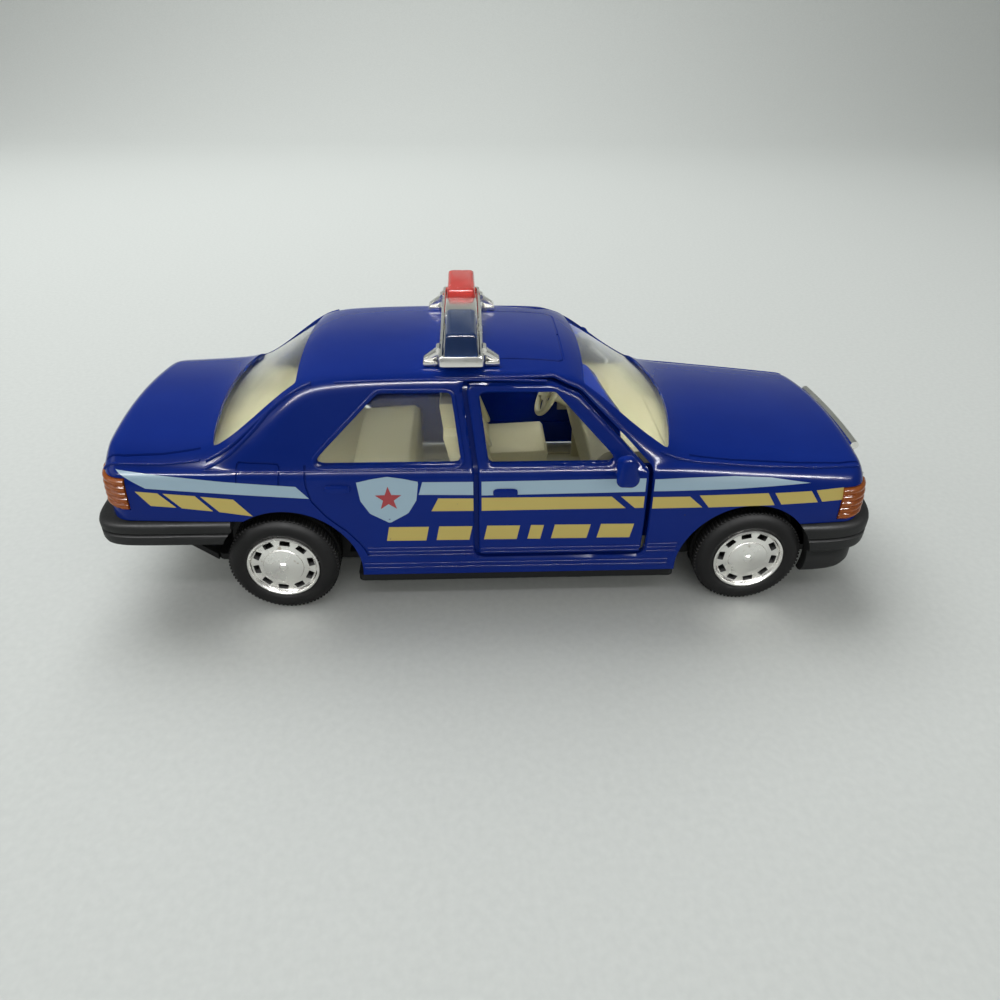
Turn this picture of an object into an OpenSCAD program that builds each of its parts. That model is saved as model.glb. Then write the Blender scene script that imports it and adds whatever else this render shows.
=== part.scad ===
/* [Overall] */
// Length over the bumpers
car_l = 125; // [115:0.5:135]
// Width of the body at its widest, mirrors not counted
body_w = 46; // [42:0.5:50]
// Wall of the cast shell
wall = 1.2; // [0.9:0.05:1.5]
// Gap round each opening door
door_gap = 0.7; // [0.6:0.05:0.9]
// Clearance between pieces that seat against each other
seat_gap = 0.15; // [0.1:0.05:0.25]

/* [Wheels] */
// Distance between the two axles, as a share of the car's length
wheel_base_share = 0.604; // [0.58:0.002:0.63]
// Distance from the front bumper's face to the front axle, as a share of the car's length
front_overhang_share = 0.172; // [0.165:0.001:0.19]
// Outer diameter of a tyre
tyre_d = 17.5; // [16:0.25:18.5]
// Width of a tyre
tyre_w = 6.4; // [5:0.2:7]
// Diameter of the chromed hub
rim_d = 11.6; // [10:0.2:12.5]
// Distance between the outer faces of a pair of tyres
track_w = 43.4; // [40:0.2:44]
// Diameter of an axle
axle_d = 1.8; // [1.4:0.1:2.2]
// Radial clearance of the axles and hinge pins in their bores
run_gap = 0.05; // [0.02:0.01:0.1]

/* [Body profile] */
// Distance from the front bumper's face back to the nose of the shell
nose_back = 3; // [2:0.25:5]
// Distance from the rear bumper's face forward to the tail of the shell
tail_back = 2; // [1.5:0.25:4]
// Height of the bottom edge of the sills
sill_z = 7.5; // [6.5:0.25:8.5]
// Height of the widest line of the sides
wide_z = 16; // [14:0.5:18]
// Height of the belt line under the side windows
belt_z = 26.2; // [25.5:0.1:27]
// Height of the front edge of the bonnet
hood_front_z = 25.6; // [24:0.2:26.5]
// Place of the foot of the windscreen ahead of the car's middle, as a share of the length
cowl_share = 0.228; // [0.216:0.002:0.24]
// Height of the foot of the windscreen
cowl_z = 28.7; // [27.5:0.2:29.5]
// Place of the top of the windscreen ahead of the car's middle, as a share of the length
screen_top_share = 0.096; // [0.08:0.002:0.112]
// Height of the roof at the windscreen
roof_front_z = 40.1; // [38:0.25:41]
// Height of the roof at its middle
roof_mid_z = 41; // [39:0.25:42]
// Height of the roof at the rear window
roof_rear_z = 40.1; // [38:0.25:41]
// Place of the top of the rear window behind the car's middle, as a share of the length
backlight_top_share = 0.24; // [0.224:0.002:0.256]
// Place of the foot of the rear window behind the car's middle, as a share of the length
backlight_foot_share = 0.348; // [0.336:0.002:0.36]
// Height of the boot lid at the rear window
deck_z = 30.2; // [29:0.2:31]
// Height of the boot lid at its rear edge
tail_z = 29.7; // [28.5:0.2:30.5]
// Half width of the sides at the nose
nose_half_w = 21.4; // [20:0.2:22]
// Half width of the sides at the tail
tail_half_w = 21.8; // [20:0.2:22]
// Rounding of the body corners seen from above
corner_r = 3.8; // [3:0.2:5]
// Rounding of the bonnet and boot edges
shoulder_r = 4.6; // [3:0.25:6]
// Rounding of the roof edges over the doors
roof_edge_r = 2; // [1.4:0.1:3]
// Rise of the middle of the roof, bonnet and boot lid above their edges
crown = 2.2; // [1:0.1:3]
// Bulge of the nose and tail seen from above
end_bow = 1.2; // [0.5:0.1:2.5]
// Bulge of the windscreen and rear window seen from above
screen_bow = 2.4; // [1:0.1:3]
// Ledge of the belt line under the windows
belt_ledge = 0.8; // [0.3:0.1:1.2]

/* [Openings] */
// Height of the lower edge of the side windows
window_sill_z = 27; // [26.6:0.1:28]
// Height of the upper edge of the side windows
window_top_z = 36.8; // [36:0.1:37]
// Width of the frame round a door window
frame_w = 1.7; // [1.4:0.1:2]
// Height of the lower edge of the doors
door_bottom_z = 11.4; // [10.5:0.1:12.5]
// Height of the upper edge of the door frames
door_top_z = 37.9; // [37.5:0.1:38.3]
// Place of the front edge of the doors ahead of the car's middle, as a share of the length
door_front_share = 0.1808; // [0.172:0.0008:0.188]
// Place of the rear edge of the doors behind the car's middle, as a share of the length
door_rear_share = 0.0256; // [0.02:0.0008:0.032]
// Lean of the rear edge of the door at the roof
pillar_lean = 1.7; // [0.5:0.1:2.5]
// Radius of the front wheel arch
front_arch_r = 11; // [10.5:0.1:11.5]
// Radius of the rear wheel arch
rear_arch_r = 11.3; // [10.5:0.1:11.8]

/* [Door hinges] */
// Distance of the hinge pin behind the front edge of its door
hinge_setback = 3.6; // [3.4:0.1:4]
// Depth of the hinge pin inside the widest line of the side
hinge_depth = 2.6; // [2.55:0.05:2.7]
// Diameter of the hinge pin
pin_d = 0.9; // [0.7:0.05:1]
// Wall of the door skin
door_wall = 1; // [0.8:0.05:1.1]
// Height of the lower end of the hinge knuckle
knuckle_z = 15.2; // [15:0.1:16]
// Length of the hinge knuckle
knuckle_l = 5.2; // [4:0.1:5.6]
// Thickness of each ear that holds the pin
ear_t = 1.2; // [1:0.1:1.4]

/* [Chassis] */
// Height of the flat underside
base_z = 4.5; // [4:0.1:5]
// Thickness of the base plate
base_t = 1.2; // [1:0.1:1.6]
// Height of the top edge of the front bumper
front_bumper_z = 15.8; // [14.5:0.1:16.5]
// Height of the bottom edge of the front bumper
front_spoiler_z = 5.9; // [5.85:0.05:6.5]
// Height of the top edge of the rear bumper
rear_bumper_z = 18.2; // [17:0.1:19]
// Height of the bottom edge of the rear bumper
rear_apron_z = 12.4; // [11.5:0.1:13.5]
// Wall of the bumpers
bumper_t = 1.6; // [1.2:0.1:2]
// Diameter of the screws under the car
screw_d = 2.4; // [2:0.1:2.8]

/* [Light bar] */
// Length of the light bar across the roof
bar_l = 32.4; // [28:0.2:34]
// Width of the light bar's base
bar_w = 6.6; // [5.5:0.1:8]
// Place of the light bar behind the car's middle, as a share of the length
bar_share = 0.044; // [0.024:0.002:0.064]
// Height of the top of the lamps
bar_top_z = 45.4; // [44.5:0.1:47]
// Spread of the feet along the car
bar_foot_l = 11.4; // [10:0.2:13]

/* [Motor] */
// Module of the gear teeth
gear_m = 0.5; // [0.45:0.01:0.52]
// Teeth of the pinion on the rear axle
pinion_n = 12; // [10:1:13]
// Teeth of the winding gear
winding_n = 18; // [16:1:19]
// Width of the gears
gear_w = 3; // [2:0.2:4]

/* [Hidden] */
$fn = 48;
// Overrun of every cut past the face that it leaves
over = 1;
// Clearance of pieces pressed into each other
press_gap = 0.02;
blue = "#16237f";
cream = "#c8c6a0";
black = "#1b1b1d";
chrome = "#c9c8c4";
amber = "#c8671a";
clear = "#dfe3df";
grey = "#8d8f92";

// Main places along the car
nose_x = car_l / 2 - nose_back;
tail_x = tail_back - car_l / 2;
front_x = car_l * (1 / 2 - front_overhang_share);
rear_x = front_x - car_l * wheel_base_share;
cowl_x = car_l * cowl_share;
screen_top_x = car_l * screen_top_share;
backlight_top_x = car_l * backlight_top_share;
backlight_foot_x = car_l * backlight_foot_share;
door_front_x = car_l * door_front_share;
door_rear_x = car_l * door_rear_share;
bar_x = car_l * bar_share;
axle_z = tyre_d / 2;
half_w = body_w / 2;
wide_half_w = max(half_w, nose_half_w, tail_half_w);

// Rounding radii of the long profile at its six knots
profile = [[tail_x, tail_z], [-backlight_foot_x, deck_z], [-backlight_top_x, roof_rear_z],
           [(screen_top_x - backlight_top_x) / 2, roof_mid_z], [screen_top_x, roof_front_z],
           [cowl_x, cowl_z], [nose_x, hood_front_z]];
knot_r_share = 0.35;
roof_r_share = 0.9;

// Slopes of the sides: tuck below the widest line, lean above it and lean of the side windows
tuck_share = 0.09;
upper_share = 0.1;
lean_share = 0.42;
side_blend = 4;
belt_blend = 0.5;
taper_share = 0.16;
taper_x = car_l * taper_share;
// Height from which the sections of the body are swept out
core_z = 15;
end_r = 2.6;

// Shares of the sweep at which each section has a point
sweep_shares = [0, 0.08, 0.16, 0.24, 0.32, 0.38, 0.42, 0.44, 0.455, 0.47, 0.49, 0.53, 0.57, 0.6, 0.625,
                0.645, 0.665, 0.685, 0.71, 0.75, 0.82, 0.91, 1];
lining_shares = [0, 0.2, 0.38, 0.44, 0.47, 0.53, 0.6, 0.64, 0.68, 0.74, 0.86, 1];
steps = 20;

function hinge_blend(d, r) = (d + sqrt(d * d + r * r)) / 2;
function step_blend(d, r) = (1 + d / sqrt(d * d + r * r)) / 2;
function clamp(v, a, b) = max(a, min(b, v));
function slope(i) = (profile[i + 1][1] - profile[i][1]) / (profile[i + 1][0] - profile[i][0]);
function knot_r(i) = i == 3 ? roof_r_share * roof_mid_z / 2 : knot_r_share * belt_z / 3;
function sum(v, i = 0) = i < len(v) ? v[i] + sum(v, i + 1) : 0;
// Round-over at an end: 0 before the round starts, r at the end itself
function round_over(d, r) = let (t = clamp(d / r, 0, 1)) r * (1 - sqrt(1 - t * t));

// Height of the long profile at x
function profile_z(x) = profile[0][1] + slope(0) * (x - profile[0][0])
    + sum([for (i = [1:len(profile) - 2])
        (slope(i) - slope(i - 1)) * hinge_blend(x - profile[i][0], knot_r(i))]);

// Half width of the widest line at x
function plan_w(x, inset) =
    half_w - inset
    - (half_w - nose_half_w) * pow(max(0, x - taper_x) / (nose_x - taper_x), 2)
    - (half_w - tail_half_w) * pow(max(0, -taper_x - x) / (-taper_x - tail_x), 2)
    - round_over(x - (nose_x - inset - corner_r), corner_r)
    - round_over((tail_x + inset + corner_r) - x, corner_r);

// How far the side lies inside its widest line at height z
function side_in(z) =
    tuck_share * hinge_blend(wide_z - z, side_blend)
    + upper_share * hinge_blend(z - wide_z, side_blend)
    + (lean_share - upper_share) * hinge_blend(z - belt_z, belt_blend)
    + belt_ledge * step_blend(z - belt_z, belt_blend);

// Height of the upper surface over x and y
function top_z(x, y, inset) =
    let (s = clamp(x / taper_x, -1, 1), u = y / half_w)
    profile_z(x + screen_bow * s * u * u) - crown * u * u - inset
    - round_over(x - (nose_x - inset - end_r), end_r)
    - round_over((tail_x + inset + end_r) - x, end_r);

// Below zero inside the body, above zero outside it
function depth(x, y, z, w, inset) =
    let (a = y - w + side_in(z), t = top_z(x, y, inset), b = z - t)
    let (k = clamp((t - deck_z) / (roof_rear_z - deck_z), 0, 1))
    let (r = shoulder_r + k * (roof_edge_r - shoulder_r), h = max(0, r - abs(a - b)))
    max(a, b) + h * h / (4 * r);

// Reach of the section from its core along one direction, by halving the span
function reach(x, c, s, w, inset, lo, hi, n) =
    let (m = (lo + hi) / 2)
    n == 0 ? m
    : depth(x, m * c, core_z + m * s, w, inset) > 0 ? reach(x, c, s, w, inset, lo, m, n - 1)
    : reach(x, c, s, w, inset, m, hi, n - 1);

// Right half of one section as [y, z], from the sill to the middle of the roof
function half_section(x, inset, low_z, shares) =
    let (w = plan_w(x, inset), y0 = w - side_in(low_z), a0 = atan2(low_z - core_z, y0))
    [for (k = shares) let (a = a0 + k * (90 - a0), c = cos(a), s = sin(a))
        let (d = k == 0 ? norm([y0, low_z - core_z]) : reach(x, c, s, w, inset, 0, body_w, steps))
        [d * c, core_z + d * s]];

// Bulge of both ends seen from above
function bow_x(x, y) =
    let (f = max(0, (x - front_x) / (nose_x - front_x)), r = max(0, (rear_x - x) / (rear_x - tail_x)))
    x - end_bow * (f * f - r * r) * pow(y / half_w, 2);

function ring(x, inset, low_z, shares) =
    let (h = half_section(x, inset, low_z, shares), n = len(h))
    concat([for (i = [0:n - 1]) [bow_x(x, h[i][0]), -h[i][0], h[i][1]]],
           [for (i = [n - 2:-1:0]) [bow_x(x, h[i][0]), h[i][0], h[i][1]]]);

// Stations along the body, closer together at its ends and at the screens
function spread(a, b, n) = [for (i = [0:n - 1]) a + (b - a) * i / n];
function end_rounds(n) = [for (i = [0:n - 1]) 1 - cos(90 * i / n)];
function stations(inset, fine) =
    let (t = tail_x + inset, e = nose_x - inset, n = fine ? 5 : 3, m = fine ? 1 : 0.5)
    concat([for (k = end_rounds(n)) t + corner_r * k],
           spread(t + corner_r, -backlight_foot_x, ceil(4 * m)),
           spread(-backlight_foot_x, -backlight_top_x, ceil(8 * m)),
           spread(-backlight_top_x, screen_top_x, ceil(7 * m)),
           spread(screen_top_x, cowl_x, ceil(9 * m)),
           spread(cowl_x, e - corner_r, ceil(6 * m)),
           [for (i = [n:-1:0]) e - corner_r * (1 - cos(90 * i / n))]);

// Closed solid of the body's outer form, set in by inset
module body_form(inset, low_z, fine = true) {
    xs = stations(inset, fine);
    rings = [for (x = xs) ring(x, inset, low_z, fine ? sweep_shares : lining_shares)];
    n = len(rings[0]);
    m = len(xs);
    polyhedron([for (r = rings) each r],
        concat([for (i = [0:m - 2], j = [0:n - 1]) let (k = (j + 1) % n)
                    [i * n + j, i * n + k, (i + 1) * n + k]],
               [for (i = [0:m - 2], j = [0:n - 1]) let (k = (j + 1) % n)
                    [i * n + j, (i + 1) * n + k, (i + 1) * n + j]],
               [for (j = [0:(n - 3) / 2]) each [[n - 1 - j, n - 2 - j, j], [n - 2 - j, j + 1, j]]],
               [for (j = [0:(n - 3) / 2]) let (b = (m - 1) * n)
                    each [[b + j, b + n - 2 - j, b + n - 1 - j], [b + j, b + j + 1, b + n - 2 - j]]]));
}

// Flat outline in x and z, pushed out sideways from y0 to y1 on the right of the car
module side_prism(y0, y1) {
    translate([0, -y0, 0]) rotate([90, 0, 0]) linear_extrude(y1 - y0) children();
}

module both_sides() {
    children();
    mirror([0, 1, 0]) children();
}

module rounded(r) {
    offset(r) offset(-r) children();
}

// Line of the windscreen pillar: foot and head of the door's front edge
pillar_foot = [door_front_x, belt_z - belt_blend / 2];
pillar_head = [screen_top_x - pillar_lean, door_top_z];
door_corner_r = 1;
window_corner_r = 0.8;
pillar_frame_w = 2.2;
mirror_frame_w = 3.4;
function pillar_x(z) = pillar_foot[0]
    + (pillar_head[0] - pillar_foot[0]) * (z - pillar_foot[1]) / (pillar_head[1] - pillar_foot[1]);
function shut_x(z) = -door_rear_x - pillar_lean * max(0, z - belt_z) / (door_top_z - belt_z);

module door_outline() {
    rounded(door_corner_r) polygon([
        [-door_rear_x, door_bottom_z], [door_front_x, door_bottom_z], pillar_foot, pillar_head,
        [shut_x(door_top_z), door_top_z], [-door_rear_x, belt_z]]);
}

module door_window() {
    rounded(window_corner_r) polygon([
        [shut_x(window_sill_z) + frame_w, window_sill_z],
        [pillar_x(window_sill_z) - mirror_frame_w, window_sill_z],
        [pillar_x(window_top_z) - pillar_frame_w, window_top_z],
        [shut_x(window_top_z) + frame_w, window_top_z]]);
}

// Fixed window of the moulded rear door
quarter_rear_share = 0.2256;
quarter_head_share = 0.1424;
quarter_rear_x = car_l * quarter_rear_share;
quarter_head_x = car_l * quarter_head_share;
module quarter_window() {
    rounded(window_corner_r) polygon([
        [-quarter_rear_x, window_sill_z], [shut_x(window_sill_z) - frame_w - door_gap, window_sill_z],
        [shut_x(window_top_z) - frame_w - door_gap, window_top_z], [-quarter_head_x, window_top_z]]);
}

// Windscreen and rear window openings seen from above
screen_foot_w = 17.6;
screen_head_w = 13.6;
screen_lip = 2;
module screen_outline(foot_x, head_x, bow) {
    polygon(concat(
        [for (i = [-4:4]) [foot_x - bow * pow(i / 4, 2), screen_foot_w * i / 4]],
        [for (i = [4:-2:-4]) [head_x - bow / 3 * pow(i / 4, 2), screen_head_w * i / 4]]));
}

module screen_cuts(grow = 0) {
    translate([0, 0, cowl_z - grow]) linear_extrude(bar_top_z - cowl_z)
        rounded(window_corner_r) offset(grow)
        screen_outline(cowl_x - screen_lip / 4, screen_top_x + screen_lip, screen_bow + screen_lip / 2);
    translate([0, 0, deck_z + belt_ledge - grow]) linear_extrude(bar_top_z - deck_z)
        rounded(window_corner_r) offset(grow)
        screen_outline(screen_lip / 4 - backlight_foot_x, -backlight_top_x - screen_lip / 2,
            -screen_bow - screen_lip / 2);
}

// Wheel arches, cut through the sides only
front_arch_set = 1.4;
rear_arch_set = 1.5;
arch_x = [front_x - front_arch_set, rear_x + rear_arch_set];
module arches() {
    both_sides() {
        translate([arch_x[0], -half_w - over, axle_z]) rotate([-90, 0, 0])
            cylinder(r = front_arch_r, h = track_w / 4);
        translate([arch_x[1], -half_w - over, axle_z]) rotate([-90, 0, 0])
            cylinder(r = rear_arch_r, h = track_w / 4);
    }
}

// Boxes that the corner lamps fill
lamp_z = 16.6;
lamp_h = 6;
indicator_l = 4.4;
indicator_w = 4.5;
lamp_depth = 2.2;
grille_w = 22;
grille_h = 7.9;
grille_t = 1.8;
grille_proud = 0.7;
tail_lamp_z = 20.4;
tail_lamp_h = 4.8;
tail_lamp_l = 3.6;
tail_lamp_w = 7.4;

// Box from the middle of the car outwards on the right side
module right_box(x0, x1, y0, y1, z0, z1, grow = 0) {
    translate([x0 - grow, -y1 - grow, z0 - grow])
        cube([x1 - x0 + 2 * grow, y1 - y0 + 2 * grow, z1 - z0 + 2 * grow]);
}

// Inner edge of the corner lamps, with the headlights between them and the grille
indicator_y = nose_half_w - indicator_w;
module headlight_box(grow = 0) {
    right_box(nose_x - end_bow - lamp_depth, nose_x + over, grille_w / 2 + seat_gap,
        indicator_y - 2 * seat_gap, lamp_z, lamp_z + lamp_h, grow);
}
module indicator_box(grow = 0) {
    right_box(nose_x - end_bow - indicator_l, nose_x + over, indicator_y + seat_gap, half_w + over,
        lamp_z, lamp_z + lamp_h - belt_ledge, grow);
}
module tail_lamp_box(grow = 0) {
    right_box(tail_x - over, tail_x + end_bow + tail_lamp_l, tail_half_w - tail_lamp_w, half_w + over,
        tail_lamp_z, tail_lamp_z + tail_lamp_h, grow);
}
module grille_box(grow = 0) {
    translate([nose_x - grille_t - grow, -grille_w / 2 - grow, front_bumper_z + seat_gap - grow])
        cube([grille_t + grille_proud + 2 * grow, grille_w + 2 * grow, grille_h + 2 * grow]);
}

// Screw posts inside the shell, over the screws in the base
front_screw_set = 7;
rear_screw_set = 11;
screw_l = 8.3;
screw_x = [front_x - front_screw_set, rear_x - rear_screw_set];
post_d = 4.6;
module screw_posts() {
    for (x = screw_x) translate([x, 0, base_z + base_t + seat_gap])
        difference() {
            cylinder(d = post_d, h = profile_z(x) - wall - base_z - base_t);
            translate([0, 0, -over]) cylinder(d = screw_d, h = screw_l + over);
        }
}

// Mouldings raised on the right side: sill ribs and the handles of both doors
rib_z = 9.4;
rib_h = 0.45;
rib_pitch = 0.85;
rib_n = 4;
rib_proud = 0.3;
handle_z = 22.4;
handle_l = 3.6;
handle_h = 1.2;
handle_proud = 0.6;
front_handle_share = -0.008;
rear_handle_share = -0.2112;
front_handle_x = car_l * front_handle_share;
rear_handle_x = car_l * rear_handle_share;
module side_ridge(x0, x1, z0, z1, proud) {
    y0 = half_w - side_in(z0);
    y1 = half_w - side_in(z1);
    translate([x0, 0, 0]) rotate([90, 0, 90]) linear_extrude(x1 - x0) polygon([
        [-y0 + door_wall / 2, z0], [-y0 - proud, z0 + proud / 2],
        [-y1 - proud, z1 - proud / 2], [-y1 + door_wall / 2, z1]]);
}
module sill_ribs(x0, x1) {
    for (i = [0:rib_n - 1])
        side_ridge(x0, x1, rib_z + i * rib_pitch, rib_z + i * rib_pitch + rib_h, rib_proud);
}
module handle(x) {
    side_ridge(x, x + handle_l, handle_z, handle_z + handle_h, handle_proud);
}

module body_shell() {
    color(blue) union() {
        difference() {
            union() {
                body_form(0, sill_z);
                both_sides() {
                    sill_ribs(arch_x[1], arch_x[0]);
                    handle(rear_handle_x);
                }
            }
            body_form(wall, sill_z - over, false);
            both_sides() {
                side_prism(half_w / 3, half_w + over) offset(door_gap) door_outline();
                side_prism(half_w / 3, half_w + over) quarter_window();
            }
            screen_cuts();
            arches();
            // Space over the front bumper and rear bumper
            translate([front_x, -wide_half_w - over, 0])
                cube([car_l, 2 * (wide_half_w + over), front_bumper_z + seat_gap]);
            translate([rear_x - car_l, -wide_half_w - over, 0])
                cube([car_l, 2 * (wide_half_w + over), rear_bumper_z + seat_gap]);
            both_sides() {
                headlight_box(seat_gap);
                indicator_box(seat_gap);
                tail_lamp_box(seat_gap);
            }
            grille_box(seat_gap);
        }
        screw_posts();
    }
}

// Clear moulding of both screens, the roof liner that joins them and the rear side windows
glass_t = 0.7;
module window_glazing() {
    color(clear) intersection() {
        difference() {
            body_form(wall + seat_gap, sill_z, false);
            body_form(wall + seat_gap + glass_t, sill_z - over, false);
            both_sides() side_prism(half_w / 3, half_w + over)
                offset(door_gap + frame_w) door_outline();
        }
        union() {
            screen_cuts(frame_w);
            translate([-backlight_top_x - frame_w, -half_w, window_sill_z - frame_w])
                cube([backlight_top_x + screen_top_x + 3 * frame_w, body_w, bar_top_z]);
        }
    }
}

// Hinge axis of the right front door
hinge_x = door_front_x - hinge_setback;
hinge_y = half_w - hinge_depth;
knuckle_wall = 0.3;
knuckle_d = pin_d + 2 * (run_gap + knuckle_wall);
leaf_l = 5.4;
leaf_t = 0.5;

module right_door() {
    difference() {
        intersection() {
            union() {
                body_form(0, sill_z);
                sill_ribs(arch_x[1], arch_x[0]);
                handle(front_handle_x);
            }
            side_prism(half_w / 2, half_w + over) door_outline();
        }
        body_form(door_wall, sill_z - over, false);
        side_prism(half_w / 2, half_w + over) door_window();
    }
}

module right_leaf() {
    translate([hinge_x, -hinge_y, knuckle_z]) difference() {
        union() {
            cylinder(d = knuckle_d, h = knuckle_l);
            translate([-leaf_l, -knuckle_d / 2, 0]) cube([leaf_l, leaf_t, knuckle_l]);
        }
        translate([0, 0, -over]) cylinder(d = pin_d + 2 * run_gap, h = knuckle_l + 2 * over);
    }
}

// Ears of the interior hold each pin above and below the knuckle
ear_gap = 0.3;
ear_z = [knuckle_z - ear_gap - ear_t, knuckle_z + knuckle_l + ear_gap];
module right_pin() {
    translate([hinge_x, -hinge_y, ear_z[0]]) cylinder(d = pin_d, h = ear_z[1] - ear_z[0] + ear_t);
}

tub_half_w = 17;
module ear(z) {
    translate([hinge_x, -hinge_y, z]) difference() {
        union() {
            cylinder(d = knuckle_d, h = ear_t);
            translate([-knuckle_d / 2, 0, 0]) cube([knuckle_d, hinge_y - tub_half_w + over, ear_t]);
        }
        translate([0, 0, -over]) cylinder(d = pin_d + 2 * press_gap, h = ear_t + 2 * over);
    }
}

// Door mirror: a short foot on the door and a drop-shaped housing
mirror_h = 5;
mirror_w = 3.4;
mirror_l = 2.6;
mirror_tip_d = 2.3;
mirror_glass_d = 2;
mirror_glass_z = 2.1;
mirror_glass_set = 0.8;
mirror_foot = 1.5;
module right_mirror_form() {
    y0 = half_w - side_in(belt_z - mirror_foot) + seat_gap;
    translate([hinge_x - mirror_l / 2, -y0, belt_z - mirror_foot]) {
        hull() {
            translate([0, -mirror_foot, mirror_foot]) sphere(d = mirror_foot, $fn = 24);
            translate([-mirror_foot / 2, -mirror_foot / 2, 0])
                cube([mirror_foot, mirror_foot / 2, mirror_foot]);
        }
        hull() {
            translate([mirror_l / 4, -mirror_w, mirror_glass_z]) sphere(d = mirror_l, $fn = 24);
            translate([0, -mirror_w, mirror_h]) sphere(d = mirror_tip_d, $fn = 24);
            translate([-mirror_l / 2, -mirror_w - mirror_glass_set, mirror_glass_z]) rotate([0, 90, 0])
                cylinder(d = mirror_glass_d, h = mirror_l / 4, $fn = 24);
            translate([0, -mirror_foot - mirror_l / 8, mirror_h / 2]) sphere(d = mirror_foot, $fn = 24);
        }
    }
}

module right_front_door() { color(blue) right_door(); }
module left_front_door() { color(blue) mirror([0, 1, 0]) right_door(); }
module right_hinge_leaf() { color(chrome) right_leaf(); }
module left_hinge_leaf() { color(chrome) mirror([0, 1, 0]) right_leaf(); }
module right_hinge_pin() { color(chrome) right_pin(); }
module left_hinge_pin() { color(chrome) mirror([0, 1, 0]) right_pin(); }
module right_mirror() { color(blue) right_mirror_form(); }
module left_mirror() { color(blue) mirror([0, 1, 0]) right_mirror_form(); }

// Interior: floor with the rear bench and parcel shelf, two seats and the dashboard
floor_t = 1;
floor_z = base_z + base_t + seat_gap;
bench_z = 18.4;
bench_shares = [-0.12, -0.224];
bench_x = car_l * bench_shares;
bench_back_t = 3.4;
shelf_z = 26;
shelf_share = -0.304;
shelf_x = car_l * shelf_share;
back_lean = 5;
seat_w = 11.6;
seat_y = 8.4;
seat_z = 14.5;
seat_shares = [0.072, -0.0288];
seat_x = car_l * seat_shares;
seat_back_z = 28.4;
seat_back_t = 3;
headrest_w = 6.4;
headrest_h = 4.2;
headrest_lean = 1;
kick_rear = 2.6;
kick_front = 1.6;
kick_x = [hinge_x - kick_rear, hinge_x + kick_front];

module interior_tub() {
    color(cream) {
        // Floor up to the foot wells and over the motor
        translate([bench_x[0], -tub_half_w, floor_z])
            cube([cowl_x - bench_x[0] - door_gap, 2 * tub_half_w, floor_t]);
        side_prism(-tub_half_w, tub_half_w) rounded(floor_t / 3) polygon([
            [bench_x[0], floor_z], [bench_x[0] + floor_t, floor_z],
            [bench_x[0] + floor_t, bench_z - floor_t],
            [bench_x[0], bench_z], [bench_x[1] + bench_back_t, bench_z - floor_t / 2],
            [bench_x[1] + bench_back_t - back_lean, shelf_z + floor_t],
            [bench_x[1] - back_lean, shelf_z + floor_t], [shelf_x, shelf_z], [shelf_x, shelf_z - floor_t],
            [bench_x[1] - back_lean, shelf_z - floor_t], [bench_x[1] - floor_t, bench_z - 2 * floor_t],
            [bench_x[0], bench_z - 2 * floor_t]]);
        // Kick panels with the lower ear of each hinge
        both_sides() {
            right_box(kick_x[0], kick_x[1], tub_half_w - floor_t, tub_half_w, floor_z, ear_z[0] + ear_t);
            ear(ear_z[0]);
        }
    }
}

module seat_form() {
    side_prism(-seat_w / 2, seat_w / 2) rounded(floor_t / 2) polygon([
        [seat_x[0], floor_z + floor_t], [seat_x[0] + floor_t, seat_z],
        [seat_x[1] + seat_back_t, seat_z - floor_t / 2],
        [seat_x[1] + seat_back_t - back_lean, seat_back_z], [seat_x[1] - back_lean, seat_back_z],
        [seat_x[1], floor_z + floor_t]]);
    side_prism(-headrest_w / 2, headrest_w / 2) rounded(floor_t) polygon([
        [seat_x[1] + seat_back_t - back_lean, seat_back_z - floor_t],
        [seat_x[1] + seat_back_t - back_lean - headrest_lean, seat_back_z + headrest_h],
        [seat_x[1] - back_lean - headrest_lean / 2, seat_back_z + headrest_h],
        [seat_x[1] - back_lean, seat_back_z - floor_t]]);
}

module right_front_seat() { color(cream) translate([0, -seat_y, 0]) seat_form(); }
module left_front_seat() { color(cream) translate([0, seat_y, 0]) seat_form(); }

dash_shares = [0.1168, 0.212];
dash_x = car_l * dash_shares;
dash_z = [18, 26.8];
binnacle_h = 1.6;
binnacle_w = 8;
column_d = 1.6;
column_l = 5;
column_tilt = 62;
wheel_d = 9;
wheel_rim_d = 1.1;

module column_place() {
    translate([dash_x[0], seat_y, (dash_z[0] + dash_z[1]) / 2]) rotate([0, -column_tilt, 0]) children();
}

module dashboard() {
    color(cream) {
        side_prism(-tub_half_w, tub_half_w) rounded(floor_t) polygon([
            [dash_x[0], dash_z[0]], [dash_x[1], dash_z[0] - floor_t], [dash_x[1], dash_z[1]],
            [dash_x[0] + 2 * floor_t, dash_z[1]], [dash_x[0], dash_z[1] - 2 * floor_t]]);
        translate([0, seat_y, 0]) side_prism(-binnacle_w / 2, binnacle_w / 2)
            rounded(floor_t / 2) polygon([
            [dash_x[0], dash_z[1] - 3 * floor_t], [dash_x[1] - 4 * floor_t, dash_z[1] - floor_t],
            [dash_x[0] + 3 * floor_t, dash_z[1] + binnacle_h],
            [dash_x[0] - floor_t / 2, dash_z[1] + binnacle_h]]);
        // Legs down to the floor, and the upper ear of each hinge
        both_sides() {
            right_box(kick_x[1], dash_x[1], tub_half_w - floor_t, tub_half_w, floor_z + floor_t, dash_z[0]);
            ear(ear_z[1]);
        }
    }
}

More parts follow.
